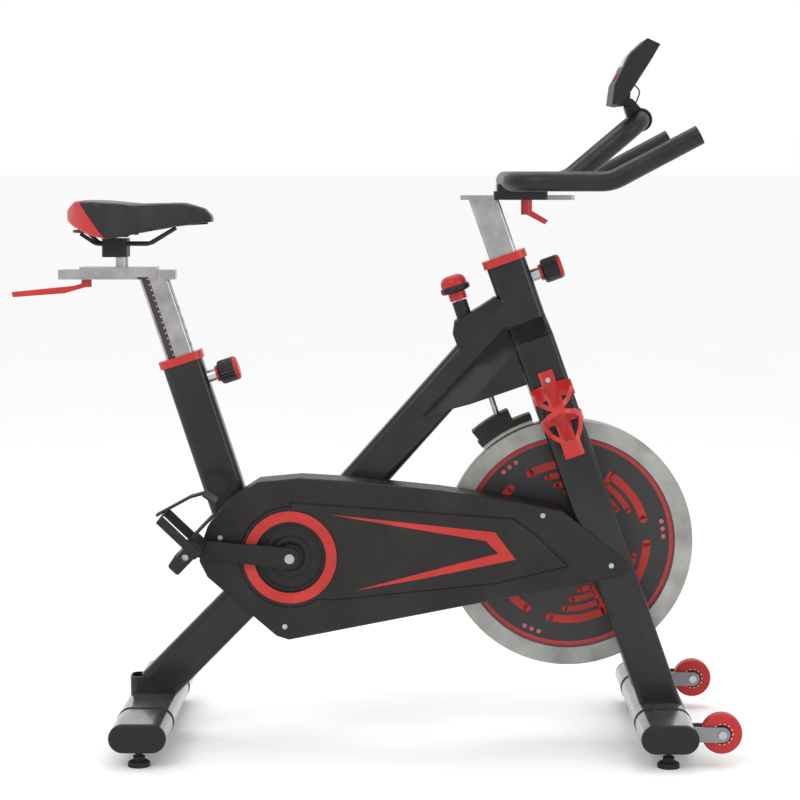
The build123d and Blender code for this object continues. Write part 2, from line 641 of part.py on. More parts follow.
SEAT_RAIL_TOP = SEAT_RAIL_Z + SEAT_RAIL_THICK
CARRIAGE_TOP = SEAT_RAIL_TOP + CARRIAGE_THICK
CARRIAGE_LENGTH = CARRIAGE_FRONT - CARRIAGE_REAR
CARRIAGE_MIDDLE = (CARRIAGE_REAR + CARRIAGE_FRONT) / 2
with BuildPart() as seat_carriage:
    with BuildSketch(Plane.XY.offset(SEAT_RAIL_TOP - CHEEK_DROP)):
        with Locations((CARRIAGE_MIDDLE, 0)):
            Rectangle(CARRIAGE_LENGTH, SEAT_RAIL_WIDTH + 2 * (CHEEK_GAP + CHEEK_THICK))
            Rectangle(CARRIAGE_LENGTH, SEAT_RAIL_WIDTH + 2 * CHEEK_GAP, mode=Mode.SUBTRACT)
    extrude(amount=CHEEK_DROP)
    with BuildSketch(Plane.XY.offset(SEAT_RAIL_TOP)):
        with Locations((CARRIAGE_MIDDLE, 0)):
            Rectangle(CARRIAGE_LENGTH, SEAT_RAIL_WIDTH + 2 * (CHEEK_GAP + CHEEK_THICK))
    extrude(amount=CARRIAGE_THICK)
    with BuildSketch(Plane.XY.offset(CARRIAGE_TOP)):
        with Locations((STUB_X, 0)):
            Circle(STUB_RADIUS)
    extrude(amount=STUB_HEIGHT)
    with BuildSketch(Plane.XY.offset(SEAT_RAIL_TOP)):
        with Locations((SEAT_LEVER_X, 0)):
            Circle(STUD_RADIUS + PIN_CLEARANCE)
    extrude(amount=CARRIAGE_THICK, mode=Mode.SUBTRACT)
seat_carriage.part.label = "seat_carriage"
export_step(seat_carriage.part, "parts/seat_carriage.step")

LEVER_HUB_RADIUS = 9.0
LEVER_HUB_HEIGHT = 14.0
with BuildPart() as seat_lever:
    with BuildSketch(Plane.XY.offset(SEAT_RAIL_Z)):
        with Locations((SEAT_LEVER_X, 0)):
            Circle(LEVER_HUB_RADIUS)
    extrude(amount=-LEVER_HUB_HEIGHT)
    with BuildSketch(Plane.XY.offset(SEAT_RAIL_Z)):
        with Locations((SEAT_LEVER_X, 0)):
            Circle(STUD_RADIUS)
    extrude(amount=SEAT_RAIL_THICK + CARRIAGE_THICK)
    tip_x = SEAT_LEVER_X - SEAT_LEVER_REACH
    with BuildSketch(Plane.XZ):
        with BuildLine():
            Polyline(
                (SEAT_LEVER_X, SEAT_RAIL_Z - 5),
                (SEAT_LEVER_X - 22, SEAT_RAIL_Z - 12),
                (tip_x, SEAT_RAIL_Z - 23),
                (tip_x + 2, SEAT_RAIL_Z - 32),
                (SEAT_LEVER_X - 38, SEAT_RAIL_Z - 25),
                (SEAT_LEVER_X, SEAT_RAIL_Z - LEVER_HUB_HEIGHT),
                close=True,
            )
        make_face()
    extrude(amount=7, both=True)
seat_lever.part.label = "seat_lever"
export_step(seat_lever.part, "parts/seat_lever.step")

# ---------------------------------------------------------------- saddle
CLAMP_BOTTOM = CARRIAGE_TOP + 18.0
STUB_GRIP = CARRIAGE_TOP + STUB_HEIGHT - CLAMP_BOTTOM
TILT_CLEARANCE = 0.3       # left between clamp and stub at the ends of the tilt
tilt_swing = radians(SADDLE_TILT_SWING)
STUB_GAP = STUB_GRIP / 2 * sin(tilt_swing) + STUB_RADIUS * (1 - cos(tilt_swing)) + TILT_CLEARANCE
CLAMP_REAR = -472.0
CLAMP_FRONT = -428.0
CLAMP_TOP = 890.0
CLAMP_HALF = 27.0
RAIL_Y = 21.0
with BuildPart() as saddle_rails:
    for side in (1, -1):
        route = [
            (-505, side * 42, 899),
            (-482, side * RAIL_Y, 881),
            (-390, side * RAIL_Y, 881),
            (-345, side * 6, 908),
        ]
        with BuildLine() as rail_route:
            rounded_path(route, 14)
        with BuildSketch(Plane(route[0], z_dir=rail_route.line % 0)):
            Circle(SADDLE_RAIL_RADIUS)
        sweep(path=rail_route.line)
    with BuildSketch(Plane.XY.offset(CLAMP_BOTTOM)):
        with Locations(((CLAMP_REAR + CLAMP_FRONT) / 2, 0)):
            RectangleRounded(CLAMP_FRONT - CLAMP_REAR, 2 * CLAMP_HALF, 7)
    extrude(amount=CLAMP_TOP - CLAMP_BOTTOM)
    with BuildSketch(Plane.XY.offset(CLAMP_BOTTOM)):
        with Locations((STUB_X, 0)):
            Circle(STUB_RADIUS + STUB_GAP)
    extrude(amount=STUB_GRIP + 4, mode=Mode.SUBTRACT)
saddle_rails.part.label = "saddle_rails"
export_step(saddle_rails.part, "parts/saddle_rails.step")


def saddle_plan(inset):
    """Pear outline from above, drawn in by inset."""
    half = SADDLE_WIDTH / 2 - inset
    nose = SADDLE_NOSE_WIDTH / 2 - inset
    rear = SADDLE_REAR + inset
    tip = SADDLE_NOSE - inset
    waist = (SADDLE_REAR + SADDLE_NOSE) / 2
    with BuildSketch() as plan:
        with BuildLine():
            Spline(
                (rear, 0),
                (rear + 24, half * 0.72),
                (rear + 66, half),
                (waist + 6, half * 0.56),
                (tip - 60, nose),
                (tip - nose * 0.6, nose * 0.8),
                (tip, 0),
                tangents=[(0, 1), (0, -1)],
            )
            mirror(about=Plane.XZ)
        make_face()
    return plan.sketch


SADDLE_SKIRT_LINE = [
    (-537, 922), (-520, 912), (-494, 900), (-456, 889),
    (-421, 891), (-385, 905), (-275, 919),
]
SADDLE_TOP_LINE = [(-275, 930), (-290, 946), (-326, 953), (-407, 951), (-477, 956), (-516, 957), (-537, 940)]
SADDLE_SEAT_LINE = [(-560, 905), (-400, 905), (-335, 916), (-250, 922)]
with BuildPart() as saddle_cavity:
    with BuildSketch(Plane.XZ):
        with BuildLine():
            Polyline(*SADDLE_SEAT_LINE, (-250, 860), (-560, 860), close=True)
        make_face()
    extrude(amount=SADDLE_WIDTH, both=True)
    with BuildSketch(Plane.XY):
        add(saddle_plan(SADDLE_WALL))
    extrude(amount=1000, mode=Mode.INTERSECT)

with BuildPart() as saddle:
    with BuildSketch(Plane.XZ):
        with BuildLine():
            Polyline(*SADDLE_SKIRT_LINE, *SADDLE_TOP_LINE, close=True)
        make_face()
    extrude(amount=SADDLE_WIDTH, both=True)
    with BuildSketch(Plane.XY):
        add(saddle_plan(0))
    extrude(amount=1000, mode=Mode.INTERSECT)
    add(saddle_cavity.part, mode=Mode.SUBTRACT)
saddle.part.label = "saddle"
export_step(saddle.part, "parts/saddle.step")

BASE_GAP = 0.5
with BuildPart() as saddle_base:
    with BuildSketch(Plane.XZ):
        with BuildLine():
            base_under = [(x, z - SADDLE_BASE_THICK) for x, z in reversed(SADDLE_SEAT_LINE)]
            Polyline(*SADDLE_SEAT_LINE, *base_under, close=True)
        make_face()
    extrude(amount=SADDLE_WIDTH, both=True)
    with BuildSketch(Plane.XY):
        add(saddle_plan(SADDLE_WALL + BASE_GAP))
    extrude(amount=1000, mode=Mode.INTERSECT)
    add(saddle_rails.part, mode=Mode.SUBTRACT)
saddle_base.part.label = "saddle_base"
export_step(saddle_base.part, "parts/saddle_base.step")

# ---------------------------------------------------------------- handlebar post, rail, bracket and lever
BAR_RAIL_TOP = BAR_RAIL_Z + BAR_RAIL_THICK
with BuildPart() as head_post:
    with BuildSketch(HEAD_LINE.offset(HEAD_TUBE_TOP - HEAD_POST_INSERT)):
        hollow_section(POST_WIDTH, POST_DEPTH, POST_CORNER, POST_WALL)
    extrude(amount=HEAD_POST_INSERT + 150)
    split(bisect_by=Plane.XY.offset(BAR_RAIL_Z), keep=Keep.BOTTOM)
    for index in range(1, 5):
        with BuildSketch(pin_plane(HEAD_LINE, HEAD_TUBE_TOP + index * PIN_HOLE_PITCH, 0)):
            Circle(PIN_HOLE_RADIUS)
        extrude(amount=POST_WIDTH, mode=Mode.SUBTRACT)
    with BuildSketch(Plane.XY.offset(BAR_RAIL_Z)):
        with Locations(((BAR_RAIL_REAR + BAR_RAIL_FRONT) / 2, 0)):
            RectangleRounded(BAR_RAIL_FRONT - BAR_RAIL_REAR, BAR_RAIL_WIDTH, 6)
    extrude(amount=BAR_RAIL_THICK)
    with BuildSketch(Plane.XY.offset(BAR_RAIL_Z)):
        with Locations((BAR_LEVER_X + 10, 0)):
            SlotCenterToCenter(80, RAIL_SLOT_WIDTH)
    extrude(amount=BAR_RAIL_THICK, mode=Mode.SUBTRACT)
head_post.part.label = "head_post"
export_step(head_post.part, "parts/head_post.step")

BRACKET_BASE = 7.0
BRACKET_HALF = 38.0
with BuildPart() as bar_lever:
    with BuildSketch(Plane.XY.offset(BAR_RAIL_Z)):
        with Locations((BAR_LEVER_X, 0)):
            Circle(LEVER_HUB_RADIUS + 1)
    extrude(amount=-26)
    with BuildSketch(Plane.XY.offset(BAR_RAIL_Z)):
        with Locations((BAR_LEVER_X, 0)):
            Circle(STUD_RADIUS)
    extrude(amount=BAR_RAIL_THICK + BRACKET_BASE)
    with BuildSketch(Plane.XZ):
        with BuildLine():
            Polyline(
                (BAR_LEVER_X, BAR_RAIL_Z - 14),
                (BAR_LEVER_X + 14, BAR_RAIL_Z - 22),
                (BAR_LEVER_X + 38, BAR_RAIL_Z - 36),
                (BAR_LEVER_X + 32, BAR_RAIL_Z - 43),
                (BAR_LEVER_X, BAR_RAIL_Z - 26),
                close=True,
            )
        make_face()
    extrude(amount=7, both=True)
bar_lever.part.label = "bar_lever"
export_step(bar_lever.part, "parts/bar_lever.step")

# ---------------------------------------- handlebar: an outer pair of horns and an inner loop
HORN_CORNER = 60.0
HORN_SPLAY = 16.5          # the sides spread outward by this much, from the corner to the tip
LOOP_BEND = 45.0


def horn_route(end_gap):
    """From the middle of the base to the left tip, stopping short by end_gap."""
    side = BAR_HALF_WIDTH
    run_x = BAR_TIP_X - BAR_BEND_X
    run_z = BAR_TIP_Z - BAR_BASE_Z
    short = 1 - end_gap / (run_x ** 2 + run_z ** 2) ** 0.5
    tip = (BAR_BEND_X + run_x * short, side, BAR_BASE_Z + run_z * short)
    return [
        (BAR_BASE_X, 0, BAR_BASE_Z),
        (BAR_BASE_X, side - HORN_SPLAY, BAR_BASE_Z),
        (BAR_BEND_X, side, BAR_BASE_Z),
        tip,
    ]


def loop_route():
    """Half of the inner loop: from the base forward and up to the middle of its top."""
    return [
        (BAR_BASE_X, LOOP_HALF_WIDTH, BAR_BASE_Z),
        (LOOP_BEND_X, LOOP_HALF_WIDTH, BAR_BASE_Z),
        (LOOP_TOP_X, LOOP_HALF_WIDTH, LOOP_TOP_Z),
        (LOOP_TOP_X, 0, LOOP_TOP_Z),
    ]


def bar_tubes(radius, end_gap):
    """One side of the handlebar as solid rods of the given radius."""
    with BuildPart() as rods:
        for route, bend in ((horn_route(end_gap), HORN_CORNER), (loop_route(), LOOP_BEND)):
            with BuildLine() as centre_line:
                rounded_path(route, bend)
            with BuildSketch(Plane(route[0], z_dir=centre_line.line % 0)):
                Circle(radius)
            sweep(path=centre_line.line)
    return rods.part


with BuildPart() as handlebar:
    add(bar_tubes(BAR_TUBE_RADIUS, 0))
    add(bar_tubes(BAR_TUBE_RADIUS - BAR_TUBE_WALL, BAR_TUBE_WALL), mode=Mode.SUBTRACT)
    mirror(about=Plane.XZ)
handlebar.part.label = "handlebar"
export_step(handlebar.part, "parts/handlebar.step")

with BuildPart() as bar_envelope:
    add(bar_tubes(BAR_TUBE_RADIUS, 0))
    mirror(about=Plane.XZ)

with BuildPart() as bar_bracket:
    with BuildSketch(Plane.XY.offset(BAR_RAIL_TOP)):
        with Locations(((BRACKET_REAR + BRACKET_FRONT) / 2, 0)):
            RectangleRounded(BRACKET_FRONT - BRACKET_REAR, BAR_RAIL_WIDTH + 2 * (CHEEK_GAP + CHEEK_THICK), 5)
    extrude(amount=BRACKET_BASE)
    with BuildSketch(Plane.XY.offset(BAR_RAIL_Z)):
        with Locations(((BRACKET_REAR + BRACKET_FRONT) / 2, 0)):
            RectangleRounded(BRACKET_FRONT - BRACKET_REAR, BAR_RAIL_WIDTH + 2 * (CHEEK_GAP + CHEEK_THICK), 5)
            Rectangle(BRACKET_FRONT - BRACKET_REAR, BAR_RAIL_WIDTH + 2 * CHEEK_GAP, mode=Mode.SUBTRACT)
    extrude(amount=BAR_RAIL_THICK)
    with BuildSketch(Plane.XY.offset(BAR_RAIL_TOP)):
        with Locations((BAR_BASE_X + 2, 0)):
            Rectangle(46, 2 * BRACKET_HALF)
    extrude(amount=BAR_BASE_Z - BAR_RAIL_TOP - 6)
    with BuildSketch(side_plane(BRACKET_HALF + 10)):
        with Locations((BAR_BASE_X, BAR_BASE_Z)):
            Circle(BAR_TUBE_RADIUS)
    extrude(amount=2 * BRACKET_HALF + 20, mode=Mode.SUBTRACT)
    with BuildSketch(Plane.XY.offset(BAR_RAIL_TOP)):
        with Locations((BAR_LEVER_X, 0)):
            Circle(STUD_RADIUS + PIN_CLEARANCE)
    extrude(amount=BRACKET_BASE, mode=Mode.SUBTRACT)
    add(bar_envelope.part, mode=Mode.SUBTRACT)
bar_bracket.part.label = "bar_bracket"
export_step(bar_bracket.part, "parts/bar_bracket.step")

# ---------------------------------------------------------------- console on the loop's front tube
CLAMP_WALL = 4.0
CLAMP_HALF_Y = 15.0
CLAMP_FIT = 0.1
with BuildPart() as console_mount:
    with BuildSketch(side_plane(CLAMP_HALF_Y)):
        with Locations((LOOP_TOP_X, LOOP_TOP_Z)):
            Circle(BAR_TUBE_RADIUS + CLAMP_WALL)
        with BuildLine():
            Polyline(
                (LOOP_TOP_X - 20, LOOP_TOP_Z - 2),
                (LOOP_TOP_X - 24, LOOP_TOP_Z + 10),
                (HINGE_X - HINGE_RADIUS - 3, HINGE_Z - 9),
                (HINGE_X - HINGE_RADIUS + 2, HINGE_Z - 2),
                (HINGE_X, HINGE_Z + HINGE_RADIUS),
                (HINGE_X + HINGE_RADIUS, HINGE_Z + 4),
                (LOOP_TOP_X, LOOP_TOP_Z + BAR_TUBE_RADIUS + CLAMP_WALL),
                close=True,
            )
        make_face()
        with Locations((HINGE_X, HINGE_Z)):
            Circle(HINGE_RADIUS)
        with Locations((LOOP_TOP_X, LOOP_TOP_Z)):
            Circle(BAR_TUBE_RADIUS + CLAMP_FIT, mode=Mode.SUBTRACT)
        with Locations((HINGE_X, HINGE_Z)):
            Circle(HINGE_PIN_RADIUS + RUNNING_FIT, mode=Mode.SUBTRACT)
    extrude(amount=2 * CLAMP_HALF_Y)
    add(bar_envelope.part, mode=Mode.SUBTRACT)
console_mount.part.label = "console_mount"
export_step(console_mount.part, "parts/console_mount.step")

EAR_GAP = 0.3
EAR_THICK = 5.0
EAR_REACH = CLAMP_HALF_Y + EAR_GAP
CONSOLE_OUTLINE = [
    (476, 1235), (498, 1225), (483, 1199), (452, 1150), (443, 1137),
    (430, 1120), (416, 1123), (420, 1156), (446, 1208),
]
BUTTON_DEPTH = 7.0
BUTTON_TRAVEL = 1.5
BUTTON_PLANE = Plane(origin=(427.5, 0, 1171), x_dir=(0, 1, 0), z_dir=(-0.894, 0, 0.447))
with BuildPart() as console:
    with BuildSketch(side_plane(CONSOLE_WIDTH / 2)):
        with BuildLine():
            Polyline(*CONSOLE_OUTLINE, close=True)
        make_face()
        with Locations((HINGE_X, HINGE_Z)):
            Circle(HINGE_RADIUS + CLAMP_FIT * 8, mode=Mode.SUBTRACT)
    extrude(amount=CONSOLE_WIDTH)
    for ear_y in (EAR_REACH + EAR_THICK, -EAR_REACH):
        with BuildSketch(side_plane(ear_y)):
            with Locations((HINGE_X, HINGE_Z)):
                Circle(HINGE_RADIUS)
            with BuildLine():
                Polyline((HINGE_X, HINGE_Z + 6), (452, 1150), (430, 1120), (HINGE_X, HINGE_Z - 6), close=True)
            make_face()
        extrude(amount=EAR_THICK)
    with BuildSketch(side_plane(EAR_REACH + EAR_THICK)):
        with Locations((HINGE_X, HINGE_Z)):
            Circle(HINGE_PIN_RADIUS)
    extrude(amount=2 * (EAR_REACH + EAR_THICK))
    with BuildSketch(BUTTON_PLANE.offset(-BUTTON_DEPTH - BUTTON_TRAVEL)):
        Circle(BUTTON_RADIUS + BUTTON_GAP)
    extrude(amount=3 * BUTTON_DEPTH, mode=Mode.SUBTRACT)
console.part.label = "console"
export_step(console.part, "parts/console.step")

BUTTON_PROUD = 2.5
with BuildPart() as console_button:
    with BuildSketch(BUTTON_PLANE.offset(-BUTTON_DEPTH)):
        Circle(BUTTON_RADIUS)
    extrude(amount=BUTTON_DEPTH + BUTTON_PROUD)
    fillet(console_button.faces().sort_by(Axis.X)[0].edges(), 1.5)
console_button.part.label = "console_button"
export_step(console_button.part, "parts/console_button.step")

with BuildPart() as console_wire:
    with BuildLine() as wire_route:
        rounded_path([(461, 0, 1122), (471, 0, 1147), (457, 0, 1161)], 12)
    with BuildSketch(Plane((461, 0, 1122), z_dir=wire_route.line % 0)):
        Circle(1.25)
    sweep(path=wire_route.line)
    add(console_mount.part, mode=Mode.SUBTRACT)
    add(console.part, mode=Mode.SUBTRACT)
console_wire.part.label = "console_wire"
export_step(console_wire.part, "parts/console_wire.step")

# ---------------------------------------------------------------- flywheel, its axle and the bearings
BEARING_OUT = HUB_HALF - 2.0
with BuildPart() as flywheel:
    for half, outer in ((RIM_WIDTH / 2, FLYWHEEL_RADIUS), (HUB_HALF, HUB_RADIUS)):
        with BuildSketch(side_plane(half)):
            with Locations((AXLE_X, AXLE_Z)):
                Circle(outer)
        extrude(amount=2 * half)
    for side in (1, -1):
        with BuildSketch(side_plane(side * RIM_WIDTH / 2)):
            with Locations((AXLE_X, AXLE_Z)):
                Circle(RIM_INNER_RADIUS)
                Circle(HUB_RADIUS, mode=Mode.SUBTRACT)
        extrude(amount=side * (RIM_WIDTH - DISC_THICK) / 2, mode=Mode.SUBTRACT)
        with BuildSketch(side_plane(side * HUB_HALF)):
            with Locations((AXLE_X, AXLE_Z)):
                Circle(BEARING_RADIUS)
        extrude(amount=side * (HUB_HALF - BEARING_OUT + BEARING_WIDTH), mode=Mode.SUBTRACT)
    with BuildSketch(side_plane(HUB_HALF)):
        with Locations((AXLE_X, AXLE_Z)):
            Circle(BEARING_RADIUS - 4)
    extrude(amount=2 * HUB_HALF, mode=Mode.SUBTRACT)
    rim_edges = [e for e in flywheel.edges().filter_by(GeomType.CIRCLE) if e.radius > FLYWHEEL_RADIUS - 1]
    chamfer(rim_edges, 2.0)
flywheel.part.label = "flywheel"
export_step(flywheel.part, "parts/flywheel.step")

AXLE_HALF = LEG_INNER_Y + DROPOUT_THICK + 10.0
with BuildPart() as flywheel_axle:
    with BuildSketch(side_plane(AXLE_HALF)):
        with Locations((AXLE_X, AXLE_Z)):
            Circle(AXLE_RADIUS)
    extrude(amount=2 * AXLE_HALF)
flywheel_axle.part.label = "flywheel_axle"
export_step(flywheel_axle.part, "parts/flywheel_axle.step")

SHELL_BEARING_OUT = SHELL_HALF - 3.0
with BuildPart() as bearings:
    for x, z, inner, outer, out in (
        (AXLE_X, AXLE_Z, AXLE_RADIUS, BEARING_RADIUS - RUNNING_FIT, BEARING_OUT),
        (CRANK_X, CRANK_Z, CRANK_AXLE_RADIUS + RUNNING_FIT, SHELL_BORE, SHELL_BEARING_OUT),
    ):
        for start in (out, BEARING_WIDTH - out):
            with BuildSketch(side_plane(start)):
                with Locations((x, z)):
                    Circle(outer)
                    Circle(inner, mode=Mode.SUBTRACT)
            extrude(amount=BEARING_WIDTH)
bearings.part.label = "bearings"
export_step(bearings.part, "parts/bearings.step")

# ---------------------------------------------------------------- pulleys, belt and cranks
PULLEY_Y = -HUB_HALF - 2.0
with BuildPart() as small_pulley:
    with BuildSketch(side_plane(-HUB_HALF)):
        with Locations((AXLE_X, AXLE_Z)):
            Circle(SMALL_PULLEY_RADIUS)
            Circle(AXLE_RADIUS + 4, mode=Mode.SUBTRACT)
    extrude(amount=PULLEY_WIDTH + 2)
small_pulley.part.label = "small_pulley"
export_step(small_pulley.part, "parts/small_pulley.step")

LARGE_HUB_RADIUS = 24.0
with BuildPart() as large_pulley:
    with BuildSketch(side_plane(PULLEY_Y)):
        with Locations((CRANK_X, CRANK_Z)):
            Circle(LARGE_PULLEY_RADIUS)
    extrude(amount=PULLEY_WIDTH)
    for start, depth in ((PULLEY_Y, 4.0), (PULLEY_Y - PULLEY_WIDTH + 4.0, 4.0)):
        with BuildSketch(side_plane(start)):
            with Locations((CRANK_X, CRANK_Z)):
                Circle(LARGE_PULLEY_RADIUS - 8)
                Circle(LARGE_HUB_RADIUS, mode=Mode.SUBTRACT)
        extrude(amount=depth, mode=Mode.SUBTRACT)
    with BuildSketch(side_plane(PULLEY_Y)):
        with Locations((CRANK_X, CRANK_Z)):
            Circle(CRANK_AXLE_RADIUS)
            with PolarLocations(LARGE_PULLEY_RADIUS * 0.6, 5):
                Circle(17)
    extrude(amount=PULLEY_WIDTH, mode=Mode.SUBTRACT)
large_pulley.part.label = "large_pulley"
export_step(large_pulley.part, "parts/large_pulley.step")


def belt_loop(out):
    """The outline around both pulleys, a distance out from their rims."""
    with BuildSketch() as loop:
        with Locations((CRANK_X, CRANK_Z)):
            Circle(LARGE_PULLEY_RADIUS + out)
        with Locations((AXLE_X, AXLE_Z)):
            Circle(SMALL_PULLEY_RADIUS + out)
        make_hull()
    return loop.sketch


with BuildPart() as belt:
    with BuildSketch(side_plane(PULLEY_Y - (PULLEY_WIDTH - BELT_WIDTH) / 2)):
        add(belt_loop(BELT_GAP + BELT_THICK))
        add(belt_loop(BELT_GAP), mode=Mode.SUBTRACT)
    extrude(amount=BELT_WIDTH)
belt.part.label = "belt"
export_step(belt.part, "parts/belt.step")

BB_AXLE_HALF = CRANK_INNER_Y + CRANK_THICK
with BuildPart() as bb_axle:
    with BuildSketch(side_plane(BB_AXLE_HALF)):
        with Locations((CRANK_X, CRANK_Z)):
            Circle(CRANK_AXLE_RADIUS)
    extrude(amount=2 * BB_AXLE_HALF)
bb_axle.part.label = "bb_axle"
export_step(bb_axle.part, "parts/bb_axle.step")


def pedal_point(side):
    """Where the pedal's axle crosses the bike's plane, on the left (1) or right (-1) crank."""
    turn = radians(CRANK_TURN)
    return CRANK_X - side * CRANK_LENGTH * cos(turn), CRANK_Z - side * CRANK_LENGTH * sin(turn)


CRANK_ROOT_RADIUS = 19.0
CRANK_END_RADIUS = 14.0
for side_name, side in (("left", 1), ("right", -1)):
    pedal_x, pedal_z = pedal_point(side)
    inner_y = side * CRANK_INNER_Y
    with BuildPart() as crank:
        with BuildSketch(side_plane(inner_y)):
            with Locations((CRANK_X, CRANK_Z)):
                Circle(CRANK_ROOT_RADIUS)
            with Locations((pedal_x, pedal_z)):
                Circle(CRANK_END_RADIUS)
            make_hull()
            with Locations((CRANK_X, CRANK_Z)):
                Circle(CRANK_AXLE_RADIUS, mode=Mode.SUBTRACT)
            with Locations((pedal_x, pedal_z)):
                Circle(SPINDLE_RADIUS, mode=Mode.SUBTRACT)
        extrude(amount=-side * CRANK_THICK)
        outside = crank.faces().filter_by(Axis.Y).sort_by(Axis.Y)[-1 if side > 0 else 0]
        chamfer(outside.outer_wire().edges(), 2.0)
    name = f"crank_{side_name}"
    crank.part.label = name
    export_step(crank.part, f"parts/{name}.step")

PEDAL_INNER_Y = CRANK_INNER_Y + CRANK_THICK + PEDAL_GAP
PEDAL_OUTER_Y = PEDAL_INNER_Y + PEDAL_WIDTH
PEDAL_MIDDLE_Y = (PEDAL_INNER_Y + PEDAL_OUTER_Y) / 2
SPINDLE_SHORT = 6.0
with BuildPart() as pedal_spindles:
    for side in (1, -1):
        with BuildSketch(side_plane(side * CRANK_INNER_Y)):
            with Locations(pedal_point(side)):
                Circle(SPINDLE_RADIUS)
        extrude(amount=-side * (PEDAL_OUTER_Y - SPINDLE_SHORT - CRANK_INNER_Y))
        with BuildSketch(side_plane(side * (CRANK_INNER_Y + CRANK_THICK))):
            with Locations(pedal_point(side)):
                Circle(SPINDLE_RADIUS + 3)
        extrude(amount=-side * (PEDAL_GAP - 1))
pedal_spindles.part.label = "pedal_spindles"
export_step(pedal_spindles.part, "parts/pedal_spindles.step")


def pedal_plane(side, y):
    """A plane square to the pedal's axle at y; its own x points to the toe, its own y out of the tread."""
    pedal_x, pedal_z = pedal_point(side)
    tilt = radians(PEDAL_TILT)
    return Plane(origin=(pedal_x, y, pedal_z), x_dir=(cos(tilt), 0, sin(tilt)), z_dir=(0, -1, 0))


CAGE_HALF = 29.0
CAGE_FOOT = PEDAL_THICK / 2 + CAGE_BAND / 2
STRAP_AT = 18.0
for side_name, side in (("left", 1), ("right", -1)):
    middle = pedal_plane(side, side * PEDAL_MIDDLE_Y)
    outer_start = pedal_plane(side, side * PEDAL_MIDDLE_Y + PEDAL_WIDTH / 2)
    tread = Plane(middle.origin, x_dir=middle.x_dir, z_dir=middle.y_dir)
    with BuildPart() as pedal:
        with BuildSketch(outer_start):
            RectangleRounded(PEDAL_LENGTH, PEDAL_THICK, 5)
        extrude(amount=PEDAL_WIDTH)
        with BuildSketch(tread):
            with Locations((0, 0)):
                with GridLocations(PEDAL_LENGTH / 2 + 8, PEDAL_WIDTH / 2, 2, 2):
                    Rectangle(16, PEDAL_WIDTH / 2 - 14)
        extrude(amount=PEDAL_THICK, both=True, mode=Mode.SUBTRACT)
        with BuildSketch(outer_start):
            Circle(SPINDLE_RADIUS + RUNNING_FIT)
        extrude(amount=PEDAL_WIDTH, mode=Mode.SUBTRACT)
    name = f"pedal_{side_name}"
    pedal.part.label = name
    export_step(pedal.part, f"parts/{name}.step")

    with BuildPart() as toe_cage:
        with BuildSketch(pedal_plane(side, side * PEDAL_MIDDLE_Y + CAGE_HALF)):
            with BuildLine():
                Polyline(
                    (6, CAGE_FOOT),
                    (CAGE_REACH - 16, CAGE_FOOT),
                    (CAGE_REACH - 2, CAGE_FOOT + 14),
                    (CAGE_REACH - 6, CAGE_HEIGHT - 28),
                )
            trace(line_width=CAGE_BAND)
        extrude(amount=2 * CAGE_HALF)
        with BuildSketch(pedal_plane(side, side * PEDAL_MIDDLE_Y + CAGE_HALF - 14)):
            with Locations((CAGE_REACH / 2 - 12, CAGE_FOOT)):
                Rectangle(CAGE_REACH - 24, 12)
        extrude(amount=2 * CAGE_HALF - 28, mode=Mode.SUBTRACT)
        with BuildSketch(pedal_plane(side, side * PEDAL_MIDDLE_Y + 12)):
            with BuildLine():
                Polyline(
                    (CAGE_REACH - 6, CAGE_HEIGHT - 28),
                    (CAGE_REACH - 26, CAGE_HEIGHT - 16),
                    (STRAP_AT - 6, CAGE_HEIGHT + 4),
                )
            trace(line_width=CAGE_BAND)
        extrude(amount=24)
        strap_top = CAGE_HEIGHT - 5.0
        strap_foot = -PEDAL_THICK / 2 - 0.3
        across_strap = Plane(middle.origin + middle.x_dir * STRAP_AT, x_dir=(0, 1, 0), z_dir=middle.x_dir)
        with BuildSketch(across_strap.offset(-STRAP_WIDTH / 2)):
            with Locations((0, (strap_top + strap_foot) / 2)):
                strap_across = PEDAL_WIDTH + 2
                strap_height = strap_top - strap_foot
                RectangleRounded(strap_across + 2 * STRAP_THICK, strap_height + 2 * STRAP_THICK, 3)
                Rectangle(strap_across, strap_height, mode=Mode.SUBTRACT)
        extrude(amount=STRAP_WIDTH)
    name = f"toe_cage_{side_name}"
    toe_cage.part.label = name
    export_step(toe_cage.part, f"parts/{name}.step")

# ---------------------------------------------------------------- drive covers
COVER_OUTLINE = [
    (-253, 433), (-196, 470), (-123, 477), (-36, 472), (121, 456), (261, 436), (334, 420),
    (440, 337), (451, 322), (438, 306), (-143, 191), (-165, 198),
    (-285, 302), (-299, 330), (-297, 356), (-284, 392),
]
PLATEAU_OUTLINE = [
    (-140, 436), (121, 417), (249, 408), (284, 384),
    (347, 322), (218, 291), (-60, 262), (-140, 262),
]


def cover_section(inset):
    """The covers' outline, drawn in by inset."""
    with BuildSketch() as section:
        with BuildLine():
            Polyline(*COVER_OUTLINE, close=True)
        make_face()
        fillet(section.vertices(), 5.0)
        offset(amount=-inset)
    return section.sketch


with BuildPart() as leg_room:
    with BuildSketch(HEAD_LINE):
        with Locations((0, -LEG_CENTRE_Y)):
            Rectangle(TUBE_WIDTH + 2 * COVER_CLEARANCE, LEG_DEPTH + 2 * COVER_CLEARANCE)
    extrude(amount=CROWN_BOTTOM)

